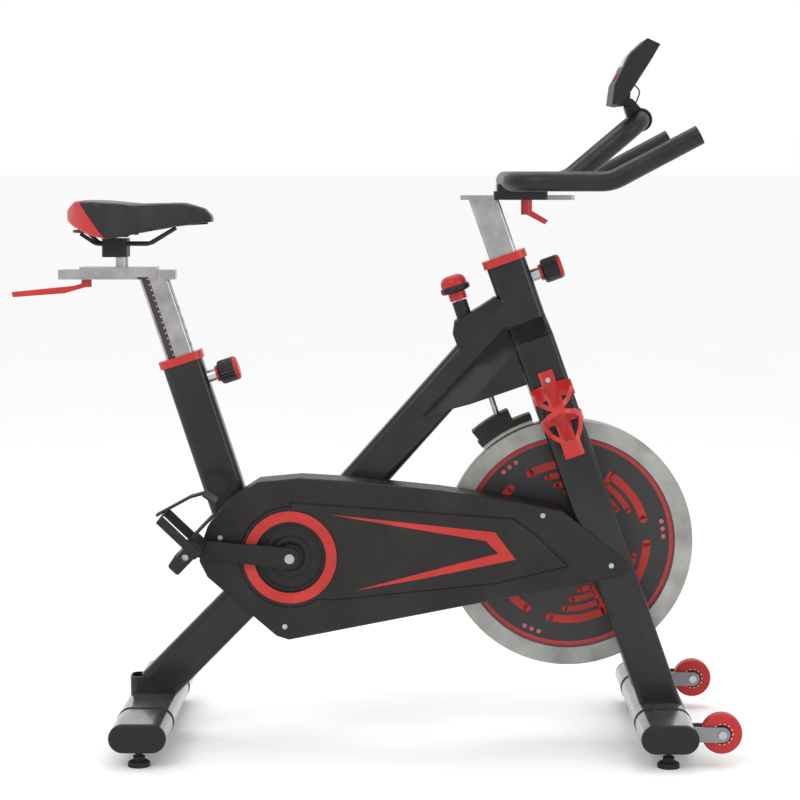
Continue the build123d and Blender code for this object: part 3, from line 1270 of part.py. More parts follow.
with BuildPart() as cover_outer:
    with BuildSketch(side_plane(-COVER_SPLIT_Y)):
        add(cover_section(0))
    extrude(amount=COVER_FACE_Y - COVER_SPLIT_Y)
    face_edges = cover_outer.faces().sort_by(Axis.Y)[0].edges()
    chamfer(face_edges, 2.0)
    with BuildSketch(side_plane(-COVER_FACE_Y)):
        with BuildLine():
            Polyline(*PLATEAU_OUTLINE, close=True)
        make_face()
        with Locations((CRANK_X, CRANK_Z)):
            Circle(RING_OUTER + 8)
    extrude(amount=COVER_PLATEAU, taper=35)
    with BuildSketch(side_plane(-COVER_TOP_Y)):
        with Locations((CRANK_X, CRANK_Z)):
            Circle(RING_OUTER)
            Circle(RING_INNER, mode=Mode.SUBTRACT)
    extrude(amount=RING_RAISE)
    with BuildSketch(side_plane(-COVER_SPLIT_Y)):
        add(cover_section(COVER_WALL))
    extrude(amount=COVER_FACE_Y - COVER_SPLIT_Y - COVER_WALL, mode=Mode.SUBTRACT)
    with BuildSketch(side_plane(-COVER_TOP_Y + RECESS_DEPTH + COVER_WALL)):
        with Locations((CRANK_X, CRANK_Z)):
            Circle(RING_INNER + COVER_WALL)
    extrude(amount=RECESS_DEPTH)
    with BuildSketch(side_plane(-COVER_TOP_Y - RING_RAISE)):
        with Locations((CRANK_X, CRANK_Z)):
            Circle(RING_INNER)
    extrude(amount=-RECESS_DEPTH - RING_RAISE, mode=Mode.SUBTRACT)
    with BuildSketch(side_plane(-COVER_SPLIT_Y)):
        with Locations((CRANK_X, CRANK_Z)):
            Circle(CRANK_AXLE_RADIUS + 3)
    extrude(amount=COVER_TOP_Y, mode=Mode.SUBTRACT)
    add(leg_room.part, mode=Mode.SUBTRACT)
cover_outer.part.label = "cover_outer"
export_step(cover_outer.part, "parts/cover_outer.step")

with BuildPart() as cover_inner:
    with BuildSketch(side_plane(-COVER_SPLIT_Y)):
        add(cover_section(0))
    extrude(amount=COVER_BACK_Y - COVER_SPLIT_Y)
    with BuildSketch(side_plane(-COVER_SPLIT_Y)):
        add(cover_section(COVER_WALL))
    extrude(amount=COVER_BACK_Y + COVER_WALL - COVER_SPLIT_Y, mode=Mode.SUBTRACT)
    with BuildSketch(side_plane(-COVER_BACK_Y)):
        with Locations((CRANK_X, CRANK_Z)):
            Circle(SHELL_RADIUS + PLUG_CLEARANCE)
        with Locations((AXLE_X, AXLE_Z)):
            Circle(HUB_RADIUS + 3)
    extrude(amount=COVER_WALL, mode=Mode.SUBTRACT)
    add(leg_room.part, mode=Mode.SUBTRACT)
cover_inner.part.label = "cover_inner"
export_step(cover_inner.part, "parts/cover_inner.step")

# the left side has a plain boss around the crank's bearings
LEFT_TIP_Y = CRANK_INNER_Y - 6.0
LEFT_TIP_RADIUS = 40.0
with BuildPart() as cover_left:
    for shrink, mode in ((0, Mode.ADD), (COVER_WALL, Mode.SUBTRACT)):
        with BuildSketch(side_plane(LEFT_COVER_Y)):
            with Locations((CRANK_X, CRANK_Z)):
                Circle(LEFT_COVER_RADIUS - shrink)
        extrude(amount=LEFT_COVER_Y - TUBE_DEPTH / 2, mode=mode)
        with BuildSketch(side_plane(LEFT_COVER_Y)):
            with Locations((CRANK_X, CRANK_Z)):
                Circle(LEFT_COVER_RADIUS - shrink)
        with BuildSketch(side_plane(LEFT_TIP_Y - shrink)):
            with Locations((CRANK_X, CRANK_Z)):
                Circle(LEFT_TIP_RADIUS - shrink)
        loft(ruled=True, mode=mode)
    with BuildSketch(side_plane(LEFT_TIP_Y)):
        with Locations((CRANK_X, CRANK_Z)):
            Circle(CRANK_AXLE_RADIUS + 3)
    extrude(amount=2 * COVER_WALL, mode=Mode.SUBTRACT)
cover_left.part.label = "cover_left"
export_step(cover_left.part, "parts/cover_left.step")

# ---------------------------------------------------------------- friction brake
def arc_band(inner, outer, start, end):
    """A band around the flywheel's axle between two radii and two angles."""
    with BuildSketch() as band:
        with Locations((AXLE_X, AXLE_Z)):
            Circle(outer)
            Circle(inner, mode=Mode.SUBTRACT)
        reach = 2 * outer
        corners = [
            (AXLE_X + reach * cos(radians(a)), AXLE_Z + reach * sin(radians(a)))
            for a in (start, (start + end) / 2, end)
        ]
        with BuildLine():
            Polyline((AXLE_X, AXLE_Z), *corners, close=True)
        make_face(mode=Mode.INTERSECT)
    return band.sketch


PAD_INNER = FLYWHEEL_RADIUS + PAD_GAP
PAD_OUTER = PAD_INNER + PAD_THICK
with BuildPart() as brake_pad:
    with BuildSketch(side_plane(RIM_WIDTH / 2 - 1)):
        add(arc_band(PAD_INNER, PAD_OUTER, PAD_START, PAD_END))
    extrude(amount=RIM_WIDTH - 2)
brake_pad.part.label = "brake_pad"
export_step(brake_pad.part, "parts/brake_pad.step")

with BuildPart() as brake_caliper:
    with BuildSketch(side_plane(RIM_WIDTH / 2 + 3)):
        add(arc_band(PAD_OUTER, PAD_OUTER + 12, PAD_START, PAD_END))
        add(arc_band(PAD_OUTER, PAD_OUTER + 33, PAD_START + 8, PAD_END - 1))
    extrude(amount=RIM_WIDTH + 6)
    fillet(brake_caliper.edges().filter_by(Axis.Y).sort_by(Axis.Z)[-2:], 4.0)
brake_caliper.part.label = "brake_caliper"
export_step(brake_caliper.part, "parts/brake_caliper.step")

ROD_COLLAR_AT = -32.0
ROD_COLLAR_THICK = 4.0
ROD_COLLAR_RADIUS = BRAKE_GUIDE_BORE - 0.3
with BuildPart() as brake_rod:
    with BuildSketch(BRAKE_LINE):
        Circle(BRAKE_ROD_RADIUS)
    extrude(amount=-BRAKE_ROD_LENGTH - 12)
    with BuildSketch(BRAKE_LINE.offset(ROD_COLLAR_AT)):
        Circle(ROD_COLLAR_RADIUS)
    extrude(amount=-ROD_COLLAR_THICK)
    add(brake_caliper.part, mode=Mode.SUBTRACT)
brake_rod.part.label = "brake_rod"
export_step(brake_rod.part, "parts/brake_rod.step")

KNOB_RIM_RADIUS = 26.5
KNOB_DOME_RADIUS = 23.0
KNOB_NECK_RADIUS = 15.5
with BuildPart() as brake_knob:
    with BuildSketch(BRAKE_LINE.offset(BRAKE_GUIDE_TOP + 2.5)):
        Circle(KNOB_NECK_RADIUS)
    extrude(amount=16)
    with BuildSketch(BRAKE_LINE.offset(-7)):
        Circle(KNOB_RIM_RADIUS)
    extrude(amount=12)
    rim_edges = [e for e in brake_knob.edges().filter_by(GeomType.CIRCLE) if e.radius > KNOB_RIM_RADIUS - 1]
    fillet(rim_edges, 5.0)
    with BuildSketch(BRAKE_LINE.offset(5)):
        Circle(KNOB_DOME_RADIUS)
    extrude(amount=18)
    circles = brake_knob.edges().filter_by(GeomType.CIRCLE)
    dome_edges = [e for e in circles if abs(e.radius - KNOB_DOME_RADIUS) < 0.1]
    fillet(sorted(dome_edges, key=lambda e: e.center().Z)[-1], 14.0)
    with BuildSketch(BRAKE_LINE.offset(BRAKE_GUIDE_TOP)):
        Circle(BRAKE_ROD_RADIUS + RUNNING_FIT)
    extrude(amount=-BRAKE_GUIDE_TOP + 0.2, mode=Mode.SUBTRACT)
brake_knob.part.label = "brake_knob"
export_step(brake_knob.part, "parts/brake_knob.step")

GUIDE_BLOCK = [
    (160, 690), (151, 703), (144, 722), (147, 745), (174, 760),
    (191, 770), (218, 788), (245, 770), (215, 700),
]
GUIDE_LIP_AT = BRAKE_GUIDE_TOP - BRAKE_GUIDE_LENGTH
with BuildPart() as brake_guide:
    with BuildSketch(side_plane(TUBE_DEPTH / 2)):
        with BuildLine():
            Polyline(*GUIDE_BLOCK, close=True)
        make_face()
    extrude(amount=TUBE_DEPTH)
    with BuildSketch(BRAKE_LINE.offset(BRAKE_GUIDE_TOP)):
        Circle(BRAKE_GUIDE_RADIUS)
    extrude(amount=-BRAKE_GUIDE_LENGTH)
    add(diagonal_envelope.part, mode=Mode.SUBTRACT)
    add(head_envelope.part, mode=Mode.SUBTRACT)
    with BuildSketch(BRAKE_LINE.offset(BRAKE_GUIDE_TOP)):
        Circle(BRAKE_GUIDE_BORE)
    extrude(amount=-BRAKE_GUIDE_LENGTH, mode=Mode.SUBTRACT)
    with BuildSketch(BRAKE_LINE.offset(BRAKE_GUIDE_TOP)):
        Circle(BRAKE_ROD_RADIUS + 1)
    extrude(amount=-BRAKE_ROD_LENGTH, mode=Mode.SUBTRACT)
brake_guide.part.label = "brake_guide"
export_step(brake_guide.part, "parts/brake_guide.step")

SPRING_RADIUS = (BRAKE_ROD_RADIUS + BRAKE_GUIDE_BORE) / 2
SPRING_WIRE = 0.9
SPRING_TURNS = 8
SPRING_LENGTH = ROD_COLLAR_AT - ROD_COLLAR_THICK - 2.5 - GUIDE_LIP_AT - 2 * SPRING_WIRE
with BuildPart() as brake_spring:
    with BuildLine() as coil:
        Helix(
            pitch=SPRING_LENGTH / SPRING_TURNS,
            height=SPRING_LENGTH,
            radius=SPRING_RADIUS,
            center=BRAKE_LINE.offset(GUIDE_LIP_AT + SPRING_WIRE + 0.3).origin,
            direction=BRAKE_LINE.z_dir,
        )
    with BuildSketch(Plane(coil.line @ 0, z_dir=coil.line % 0)):
        Circle(SPRING_WIRE)
    sweep(path=coil.line, is_frenet=True)
brake_spring.part.label = "brake_spring"
export_step(brake_spring.part, "parts/brake_spring.step")

# ---------------------------------------------------------------- bottle cage on the right leg
CAGE_BACK = 4.0
CAGE_AXIS_Y = -(LEG_OUTER_Y + CAGE_BACK + BOTTLE_RADIUS)
CAGE_OUTER = BOTTLE_RADIUS + BOTTLE_WALL
CAGE_ARM = 8.0
CAGE_BASE = HEAD_LINE.offset(BOTTLE_FOOT)
LEFT_ARM = [(-34, 120), (-30, 104), (-16, 92), (0, 84), (-20, 78), (-33, 66), (-28, 46), (-8, 26)]
RIGHT_ARM = [(34, 114), (20, 98), (4, 88), (4, 82), (24, 74), (33, 62), (24, 42), (10, 24)]


def cage_front(y):
    """A plane square to the bike's width, its own x across the leg and its own y up along it."""
    return Plane((CAGE_BASE.origin.X, y, CAGE_BASE.origin.Z), x_dir=CAGE_BASE.x_dir, z_dir=(0, -1, 0))


# what stays of the bottle's sleeve: crossing arms in front; shoulders, a waist band and a strip behind
with BuildPart() as cage_pattern:
    with BuildSketch(cage_front(CAGE_AXIS_Y)):
        for arm in (LEFT_ARM, RIGHT_ARM):
            with BuildLine():
                Polyline(*arm)
            trace(line_width=CAGE_ARM)
        with Locations((0, 14)):
            Rectangle(34, 28)
    extrude(amount=2 * CAGE_OUTER)
    with BuildSketch(cage_front(CAGE_AXIS_Y)):
        with Locations((0, 112)):
            Rectangle(2 * CAGE_OUTER, 26)
        with Locations((0, 62)):
            Rectangle(2 * CAGE_OUTER, 16)
        with Locations((0, BOTTLE_LENGTH / 2)):
            Rectangle(26, BOTTLE_LENGTH)
    extrude(amount=-2 * CAGE_OUTER)

with BuildPart() as bottle_cage:
    with BuildSketch(CAGE_BASE):
        with Locations((0, CAGE_AXIS_Y)):
            Circle(CAGE_OUTER)
            Circle(BOTTLE_RADIUS, mode=Mode.SUBTRACT)
    extrude(amount=BOTTLE_LENGTH)
    add(cage_pattern.part, mode=Mode.INTERSECT)
    with BuildSketch(cage_front(-LEG_OUTER_Y)):
        with Locations((0, BOTTLE_LENGTH / 2)):
            RectangleRounded(26, BOTTLE_LENGTH, 4)
        with Locations((0, BOTTLE_LENGTH * 0.4)):
            SlotOverall(46, 7, rotation=90, mode=Mode.SUBTRACT)
    extrude(amount=CAGE_BACK)
    with BuildSketch(CAGE_BASE):
        with Locations((0, CAGE_AXIS_Y)):
            Circle(CAGE_OUTER)
        with Locations((0, CAGE_AXIS_Y)):
            Rectangle(34, 4 * CAGE_OUTER, mode=Mode.INTERSECT)
    extrude(amount=4)
bottle_cage.part.label = "bottle_cage"
export_step(bottle_cage.part, "parts/bottle_cage.step")

# ---------------------------------------- bolts, nuts, spacers and the pins' threaded bushes
WASHER_Y = LEG_INNER_Y + DROPOUT_THICK
COVER_SCREWS = [(420, 324), (-262, 372), (-150, 215), (300, 412)]
CAGE_SCREWS = [18.0, 132.0]
WHEEL_PIN_HALF = PLATE_OFFSET + BRACKET_PLATE
with BuildPart() as frame_fasteners:
    for side in (1, -1):
        with BuildSketch(side_plane(side * WASHER_Y)):
            with Locations((AXLE_X, AXLE_Z)):
                RegularPolygon(12, 6)
                Circle(AXLE_RADIUS, mode=Mode.SUBTRACT)
        extrude(amount=-side * 8)
        with BuildSketch(side_plane(side * (BEARING_OUT + 0.1))):
            with Locations((AXLE_X, AXLE_Z)):
                Circle(AXLE_RADIUS + 2.5)
                Circle(AXLE_RADIUS, mode=Mode.SUBTRACT)
        extrude(amount=-side * (LEG_INNER_Y - BEARING_OUT - 0.1))
        for start, radius, length in (
            (WHEEL_PIN_HALF + 3, WHEEL_PIN_RADIUS + 3, 3),
            (WHEEL_PIN_HALF, WHEEL_PIN_RADIUS, 2 * WHEEL_PIN_HALF),
            (-WHEEL_PIN_HALF, WHEEL_PIN_RADIUS + 3, 3),
        ):
            with BuildSketch(side_plane(side * WHEEL_Y + start)):
                with Locations((WHEEL_X, WHEEL_CENTRE_Z)):
                    Circle(radius)
            extrude(amount=length)
    with BuildSketch(side_plane(-COVER_FACE_Y)):
        with Locations(*COVER_SCREWS):
            Circle(4.5)
    extrude(amount=1.5)
    with BuildSketch(cage_front(-LEG_OUTER_Y - CAGE_BACK)):
        with Locations(*[(0, up) for up in CAGE_SCREWS]):
            Circle(4.5)
    extrude(amount=2.0)
    add(bottle_cage.part, mode=Mode.SUBTRACT)
    for line, top in ((SEAT_LINE, SEAT_TUBE_TOP), (HEAD_LINE, HEAD_TUBE_TOP)):
        with BuildSketch(pin_plane(line, top, TUBE_WIDTH / 2)):
            Circle(BUSH_RADIUS)
        extrude(amount=BUSH_LENGTH)
        with BuildSketch(pin_plane(line, top, TUBE_WIDTH / 2)):
            Circle(BUSH_RADIUS - 3.2)
        extrude(amount=-TUBE_WALL)
        with BuildSketch(pin_plane(line, top, 0)):
            Circle(PIN_RADIUS + PIN_CLEARANCE)
        extrude(amount=TUBE_WIDTH, mode=Mode.SUBTRACT)
frame_fasteners.part.label = "frame_fasteners"
export_step(frame_fasteners.part, "parts/frame_fasteners.step")
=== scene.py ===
# %% [markdown]
# # An indoor spin bike
# The bike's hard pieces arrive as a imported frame, each at its real size and place. This lesson adds what
# the frame can't hold: finishes, painted marks, the stitched saddle and small trim. Nothing is moved.

# %% Load the frame
import json
from math import ceil, cos, pi, radians, sin, sqrt

import bpy
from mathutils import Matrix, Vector
from mathutils.bvhtree import BVHTree


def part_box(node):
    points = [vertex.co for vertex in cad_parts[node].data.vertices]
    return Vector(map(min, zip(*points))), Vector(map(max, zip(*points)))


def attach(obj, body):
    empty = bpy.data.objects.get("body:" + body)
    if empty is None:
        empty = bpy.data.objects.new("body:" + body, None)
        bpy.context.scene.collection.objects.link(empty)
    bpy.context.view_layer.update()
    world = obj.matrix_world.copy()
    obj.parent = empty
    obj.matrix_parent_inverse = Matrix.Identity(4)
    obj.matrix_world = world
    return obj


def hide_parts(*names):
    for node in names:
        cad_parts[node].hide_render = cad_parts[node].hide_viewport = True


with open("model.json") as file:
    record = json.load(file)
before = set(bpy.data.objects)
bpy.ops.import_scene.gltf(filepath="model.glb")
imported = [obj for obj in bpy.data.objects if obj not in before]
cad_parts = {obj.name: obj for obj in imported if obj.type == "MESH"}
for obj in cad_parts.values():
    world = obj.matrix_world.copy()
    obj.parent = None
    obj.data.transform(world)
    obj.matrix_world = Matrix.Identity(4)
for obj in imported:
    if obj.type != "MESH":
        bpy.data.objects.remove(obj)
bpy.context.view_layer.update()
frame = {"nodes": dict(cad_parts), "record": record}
nodes = frame["nodes"]

# %% [markdown]
# The wheel's axle and the crank's come from the joints in the frame's record. The transport wheels'
# centres are the middles of their own boxes.


# %% Places read from the frame
def middle(node):
    low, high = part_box(node)
    return (Vector(low) + Vector(high)) / 2


def joint(name):
    return next(j for j in frame["record"]["behaviour"]["joints"] if j["name"] == name)


axle = Vector(joint("flywheel_spin")["pos_m"])
crank_axle = Vector(joint("crank_spin")["pos_m"])
print("axle", tuple(round(v, 3) for v in axle), "crank", tuple(round(v, 3) for v in crank_axle))

# %% [markdown]
# A shader is a graph, but its maths is easier to read as sums. Wire wraps one socket, and using + - *
# or > on it adds the Math node. The reflected forms let a number stand first, as in 1 - mask.


# %% Shader sums
class Wire:
    def __init__(self, finish, socket):
        self.finish = finish
        self.socket = socket

    def sum(self, operation, first, second):
        return self.finish.node("ShaderNodeMath", {"operation": operation}, {0: first, 1: second})

    def __add__(self, other):
        return self.sum("ADD", self, other)

    def __sub__(self, other):
        return self.sum("SUBTRACT", self, other)

    def __rsub__(self, other):
        return self.sum("SUBTRACT", other, self)

    def __mul__(self, other):
        return self.sum("MULTIPLY", self, other)

    def __gt__(self, other):
        return self.sum("GREATER_THAN", self, other)

    __radd__ = __add__
    __rmul__ = __mul__


class Finish:
    """One material: a Principled shader, and a method that adds any other node."""

    def __init__(self, name, **constants):
        self.material = bpy.data.materials.new(name)
        self.material.use_nodes = True
        self.tree = self.material.node_tree
        self.shader = self.tree.nodes["Principled BSDF"]
        for socket, value in constants.items():
            self.shader.inputs[socket.replace("_", " ")].default_value = value

    def put(self, socket, value):
        if isinstance(value, Wire):
            self.tree.links.new(value.socket, socket)
        else:
            socket.default_value = value

    def node(self, kind, settings=None, values=None, out=0):
        made = self.tree.nodes.new(kind)
        for key, value in (settings or {}).items():
            setattr(made, key, value)
        for key, value in (values or {}).items():
            self.put(made.inputs[key], value)
        return Wire(self, made.outputs[out])

    def feed(self, **sockets):
        for socket, value in sockets.items():
            self.put(self.shader.inputs[socket.replace("_", " ")], value)

    def place(self):
        return self.node("ShaderNodeTexCoord", out="Object")

    def stretched(self, scale):
        values = {"Vector": self.place(), "Scale": scale}
        return self.node("ShaderNodeMapping", None, values)

    def noise(self, scale, detail=3.0, vector=None):
        values = {"Vector": vector or self.place(), "Scale": scale, "Detail": detail}
        return self.node("ShaderNodeTexNoise", None, values, "Fac")

    def cells(self, scale):
        return self.node("ShaderNodeTexVoronoi", None, {"Vector": self.place(), "Scale": scale}, "Distance")

    def mix(self, mask, first, second):
        settings = {"data_type": "RGBA", "clamp_factor": True}
        return self.node("ShaderNodeMix", settings, {0: mask, 6: first, 7: second}, 2)

    def spread(self, wire, low, high, to_low=0.0, to_high=1.0):
        values = {0: wire, 1: low, 2: high, 3: to_low, 4: to_high}
        return self.node("ShaderNodeMapRange", {"clamp": True}, values)

    def vector(self, operation, values, out=0):
        return self.node("ShaderNodeVectorMath", {"operation": operation}, values, out)

    def sine(self, wire):
        return self.node("ShaderNodeMath", {"operation": "SINE"}, {0: wire})

    def bump(self, height, depth, strength=1.0):
        values = {"Height": height, "Distance": depth, "Strength": strength}
        self.feed(Normal=self.node("ShaderNodeBump", None, values, "Normal"))


def colour(red, green, blue):
    return (red, green, blue, 1.0)


# %% [markdown]
# Powder coat is sprayed as dust and melted on, which leaves a faint orange peel under the gloss. Slow
# noise in the roughness stands for handling, and a fine one in the bump for the peel.


# %% Painted metal
def coated(name, paint, gloss, peel=0.00003, metal=0.0, coat=0.35):
    finish = Finish(name, Metallic=metal, Coat_Weight=coat, Coat_Roughness=0.08, Specular_IOR_Level=0.3)
    cloud = finish.noise(9.0)
    lighter = tuple(min(1.0, channel * 1.6 + 0.004) for channel in paint[:3]) + (1.0,)
    finish.feed(
        Base_Color=finish.mix(finish.spread(cloud, 0.35, 0.7), paint, lighter),
        Roughness=finish.spread(finish.noise(55.0, 5.0), 0.3, 0.7, gloss, gloss + 0.1),
    )
    finish.bump(finish.noise(1400.0, 2.0), peel)
    return finish.material


frame_black = coated("gloss_black_coat", colour(0.0075, 0.0065, 0.0065), 0.22, coat=0.12)
tube_lacquer = coated("dark_silver_lacquer", colour(0.16, 0.16, 0.165), 0.18, metal=0.8)
print("painted", frame_black.name, tube_lacquer.name)

# %% [markdown]
# Plated and bare steel differ by their polish. The posts are drawn through a die, so their scratches run
# lengthwise: the noise is squeezed along one axis to make lines of it.


# %% Bare and plated metal
def bare(name, tone, polish, grain=(900.0, 900.0, 25.0), depth=0.00002):
    finish = Finish(name, Metallic=1.0)
    lines = finish.noise(1.0, 4.0, finish.stretched(grain))
    smudge = finish.noise(30.0, 3.0)
    darker = tuple(channel * 0.62 for channel in tone[:3]) + (1.0,)
    finish.feed(
        Base_Color=finish.mix(finish.spread(smudge, 0.3, 0.75), tone, darker),
        Roughness=finish.spread(lines * 0.6 + smudge * 0.4, 0.3, 0.7, polish, polish + 0.16),
    )
    finish.bump(lines, depth)
    return finish.material


post_plate = bare("satin_plate", colour(0.44, 0.43, 0.42), 0.2)
plain_steel = bare("plain_steel", colour(0.50, 0.50, 0.51), 0.26, (500.0, 500.0, 500.0))
print("metals", post_plate.name, plain_steel.name)

# %% [markdown]
# Moulded plastic takes its grain from the mould. Small cells make the pebble of a cover, and a finer
# noise the plain satin of a knob.


# %% Moulded plastic and rubber
def moulded(name, tone, gloss, pebble=1500.0, depth=0.00005, coat=0.0):
    finish = Finish(name, Coat_Weight=coat, Specular_IOR_Level=0.3)
    cloud = finish.noise(14.0, 4.0)
    scuffed = tuple(min(1.0, channel * 1.25 + 0.006) for channel in tone[:3]) + (1.0,)
    finish.feed(
        Base_Color=finish.mix(finish.spread(cloud, 0.45, 0.75), tone, scuffed),
        Roughness=finish.spread(finish.noise(120.0, 4.0), 0.3, 0.7, gloss, gloss + 0.14),
    )
    finish.bump(finish.cells(pebble), depth)
    return finish.material


cover_black = moulded("cover_moulding", colour(0.010, 0.0085, 0.008), 0.36)
part_black = moulded("black_moulding", colour(0.009, 0.008, 0.008), 0.42)
red_shell = moulded("red_moulding", colour(0.40, 0.016, 0.014), 0.28, 2200.0, 0.00002, 0.25)
foot_black = moulded("foot_rubber", colour(0.012, 0.012, 0.012), 0.62, 900.0, 0.00008)
grip_black = moulded("dipped_grip", colour(0.010, 0.0085, 0.008), 0.30, 2600.0, 0.00006)
felt = moulded("wool_felt", colour(0.42, 0.40, 0.35), 0.85, 700.0, 0.0005)
print("plastics", len(bpy.data.materials), "materials so far")

# %% [markdown]
# The wheel is one casting with two finishes: a rim turned bright on a lathe, and a painted disc with a
# red line beside the rim. The distance from the axle says which is which, and also draws the tool marks.


# %% The wheel's turned rim and painted disc
RIM_INNER = 0.1895
LINE_INNER, LINE_OUTER = 0.1805, 0.1880
TOOL_MARKS = 5200.0


def from_axle(finish, centre):
    """How far a spot lies from an axle that runs across the bike, in metres."""
    offset = finish.vector("SUBTRACT", {0: finish.place(), 1: tuple(centre)})
    flat = finish.vector("MULTIPLY", {0: offset, 1: (1.0, 0.0, 1.0)})
    return finish.vector("LENGTH", {0: flat}, "Value")


def wheel_finish():
    finish = Finish("turned_wheel")
    radius = from_axle(finish, axle)
    rim = radius > RIM_INNER
    line = (radius > LINE_INNER) * (1 - (radius > LINE_OUTER))
    turning = finish.sine(radius * TOOL_MARKS)
    patches = finish.noise(16.0, 5.0)
    worn = finish.spread(patches, 0.3, 0.7)
    bright = finish.mix(worn, colour(0.22, 0.215, 0.20), colour(0.40, 0.41, 0.39))
    painted = finish.mix(line, colour(0.014, 0.013, 0.013), colour(0.42, 0.018, 0.02))
    finish.feed(
        Base_Color=finish.mix(rim, painted, bright),
        Metallic=rim * 0.85,
        Roughness=finish.spread(rim, 0, 1, 0.34, 0.36) + patches * 0.12,
    )
    finish.bump(turning * rim + finish.noise(900.0) * 0.5, 0.00003)
    return finish.material


turned_wheel = wheel_finish()
print("wheel rim starts at", RIM_INNER)

# %% [markdown]
# Some mouldings come in two colours. A position is measured along the piece's own axis, taken from its
# joint, and each band between two positions is one colour. The ribs that a hand grips are a bump that
# turns with the angle round the same axis.


# %% Knobs in two colours
def along(finish, origin, axis):
    """How far a spot lies along an axis, in metres, from its origin."""
    offset = finish.vector("SUBTRACT", {0: finish.place(), 1: tuple(origin)})
    return finish.vector("DOT_PRODUCT", {0: offset, 1: tuple(axis)}, "Value")


def between_marks(wire, low, high):
    return (wire > low) * (1 - (wire > high))


RIB_COUNT = 26


def knob_finish(name, origin, axis, red_bands, ribbed=False):
    axis = Vector(axis).normalized()
    finish = Finish(name, Specular_IOR_Level=0.3)
    position = along(finish, origin, axis)
    red = between_marks(position, *red_bands[0])
    for low, high in red_bands[1:]:
        red = red + between_marks(position, low, high)
    grain = finish.noise(900.0)
    finish.feed(
        Base_Color=finish.mix(red, colour(0.009, 0.008, 0.008), colour(0.38, 0.016, 0.014)),
        Roughness=finish.spread(finish.noise(90.0), 0.3, 0.7, 0.3, 0.42),
    )
    if ribbed:
        side = axis.cross(Vector((0, 1, 0)))
        turn = finish.node(
            "ShaderNodeMath", {"operation": "ARCTAN2"},
            {0: along(finish, origin, (0, 1, 0)), 1: along(finish, origin, side)},
        )
        ribs = finish.sine(turn * RIB_COUNT)
        finish.bump(ribs * (1 - red) + grain * 0.1, 0.0006)
    else:
        finish.bump(grain, 0.00003)
    return finish.material


def far_end(node, axis):
    axis = Vector(axis).normalized()
    return max((v.co for v in nodes[node].data.vertices), key=lambda co: co.dot(axis)).dot(axis)


brake_joint = joint("brake_knob_turn")
BRAKE_RED = [(-0.1, -0.007), (0.005, 0.1)]
brake_knob_finish = knob_finish(
    "brake_knob_two_colour", brake_joint["pos_m"], brake_joint["axis"], BRAKE_RED
)
PIN_KNOB_LENGTH, PIN_CAP, PIN_COLLAR = 0.041, 0.007, 0.004
pin_finishes = {}
for pin in ("seat_pin", "bar_pin"):
    pin_axis = joint(f"{pin}_pull")["axis"]
    end = far_end(pin, pin_axis)
    start = end - PIN_KNOB_LENGTH
    line_point = middle(pin) - Vector(pin_axis) * middle(pin).dot(Vector(pin_axis))
    bands = [(start, start + PIN_COLLAR), (end - PIN_CAP, end + 0.01)]
    pin_finishes[pin] = knob_finish(f"{pin}_two_colour", line_point, pin_axis, bands, True)
print("knobs:", brake_knob_finish.name, *sorted(pin_finishes))

# %% [markdown]
# The seat post's right face carries a dark band with small pale marks along it. The dark band is a
# painted reflection on the plating. It is a change of colour in the plating's own finish, not a plate,
# because the post slides through a close sleeve.

# %% Painted reflection band and pale marks on the seat post
# The dark band is a painted reflection down the post's right face: where it starts, how wide it is and which
# face.
REFLECTION_BAND_FOOT, REFLECTION_BAND_WIDE, REFLECTION_BAND_FACE = Vector((-0.3884, 0.0, 0.7517)), 0.0188, 0.0135
SCALE_DOT_AT, SCALE_DOT_HALF, SCALE_STEP = 0.0165, 0.0011, 0.010


def painted_reflection_post():
    finish = Finish("plate_with_painted_reflection", Metallic=1.0)
    slide = Vector(joint("seat_height")["axis"])
    across_post = along(finish, REFLECTION_BAND_FOOT, slide.cross(Vector((0, 1, 0))) * -1)
    up_post = along(finish, REFLECTION_BAND_FOOT, slide)
    # Painted reflection: the dark band, and the pale marks on it, lie only on the post's right face.
    side_face = (along(finish, (0, 0, 0), (0, -1, 0)) > REFLECTION_BAND_FACE)
    dark = between_marks(across_post, 0.0, REFLECTION_BAND_WIDE) * side_face
    step = finish.node("ShaderNodeMath", {"operation": "FRACT"}, {0: up_post * (1 / SCALE_STEP)})
    dots = between_marks(across_post, SCALE_DOT_AT - SCALE_DOT_HALF, SCALE_DOT_AT + SCALE_DOT_HALF)
    dots = dots * between_marks(step, 0.4, 0.62) * side_face
    lines = finish.noise(1.0, 4.0, finish.stretched((900.0, 900.0, 25.0)))
    smudge = finish.spread(finish.noise(30.0), 0.3, 0.75)
    plating = finish.mix(smudge, colour(0.44, 0.43, 0.42), colour(0.28, 0.27, 0.27))
    # The plating takes the dark band of painted reflection, which is less metallic there.
    printed = finish.mix(dark, plating, colour(0.035, 0.026, 0.028))
    finish.feed(
        Base_Color=finish.mix(dots, printed, colour(0.55, 0.50, 0.48)),
        Metallic=1 - dark * 0.9,
        Roughness=finish.spread(lines, 0.3, 0.7, 0.2, 0.36),
    )
    finish.bump(lines, 0.00002)
    return finish.material


post_reflection_plate = painted_reflection_post()
# The band is a painted reflection.
print("scale band", REFLECTION_BAND_WIDE * 1000, "mm wide")

# %% [markdown]
# A transport wheel is a red tyre on a black hub, moulded as one node here, so its distance from the axle
# gives the colour. The drive cover has turned rings in the recess round its crank, drawn the same way.

# %% Wheels and cover rings
HUB_EDGE = 0.0165
RECESS_EDGE = 0.0615
RECESS_RINGS = 520.0


def hubbed(node):
    finish = Finish(f"{node}_tyre", Specular_IOR_Level=0.3)
    tyre = from_axle(finish, middle(node)) > HUB_EDGE
    finish.feed(
        Base_Color=finish.mix(tyre, colour(0.009, 0.008, 0.008), colour(0.40, 0.018, 0.018)),
        Roughness=finish.spread(finish.noise(120.0), 0.3, 0.7, 0.32, 0.46),
    )
    finish.bump(finish.noise(1200.0), 0.00004)
    return finish.material


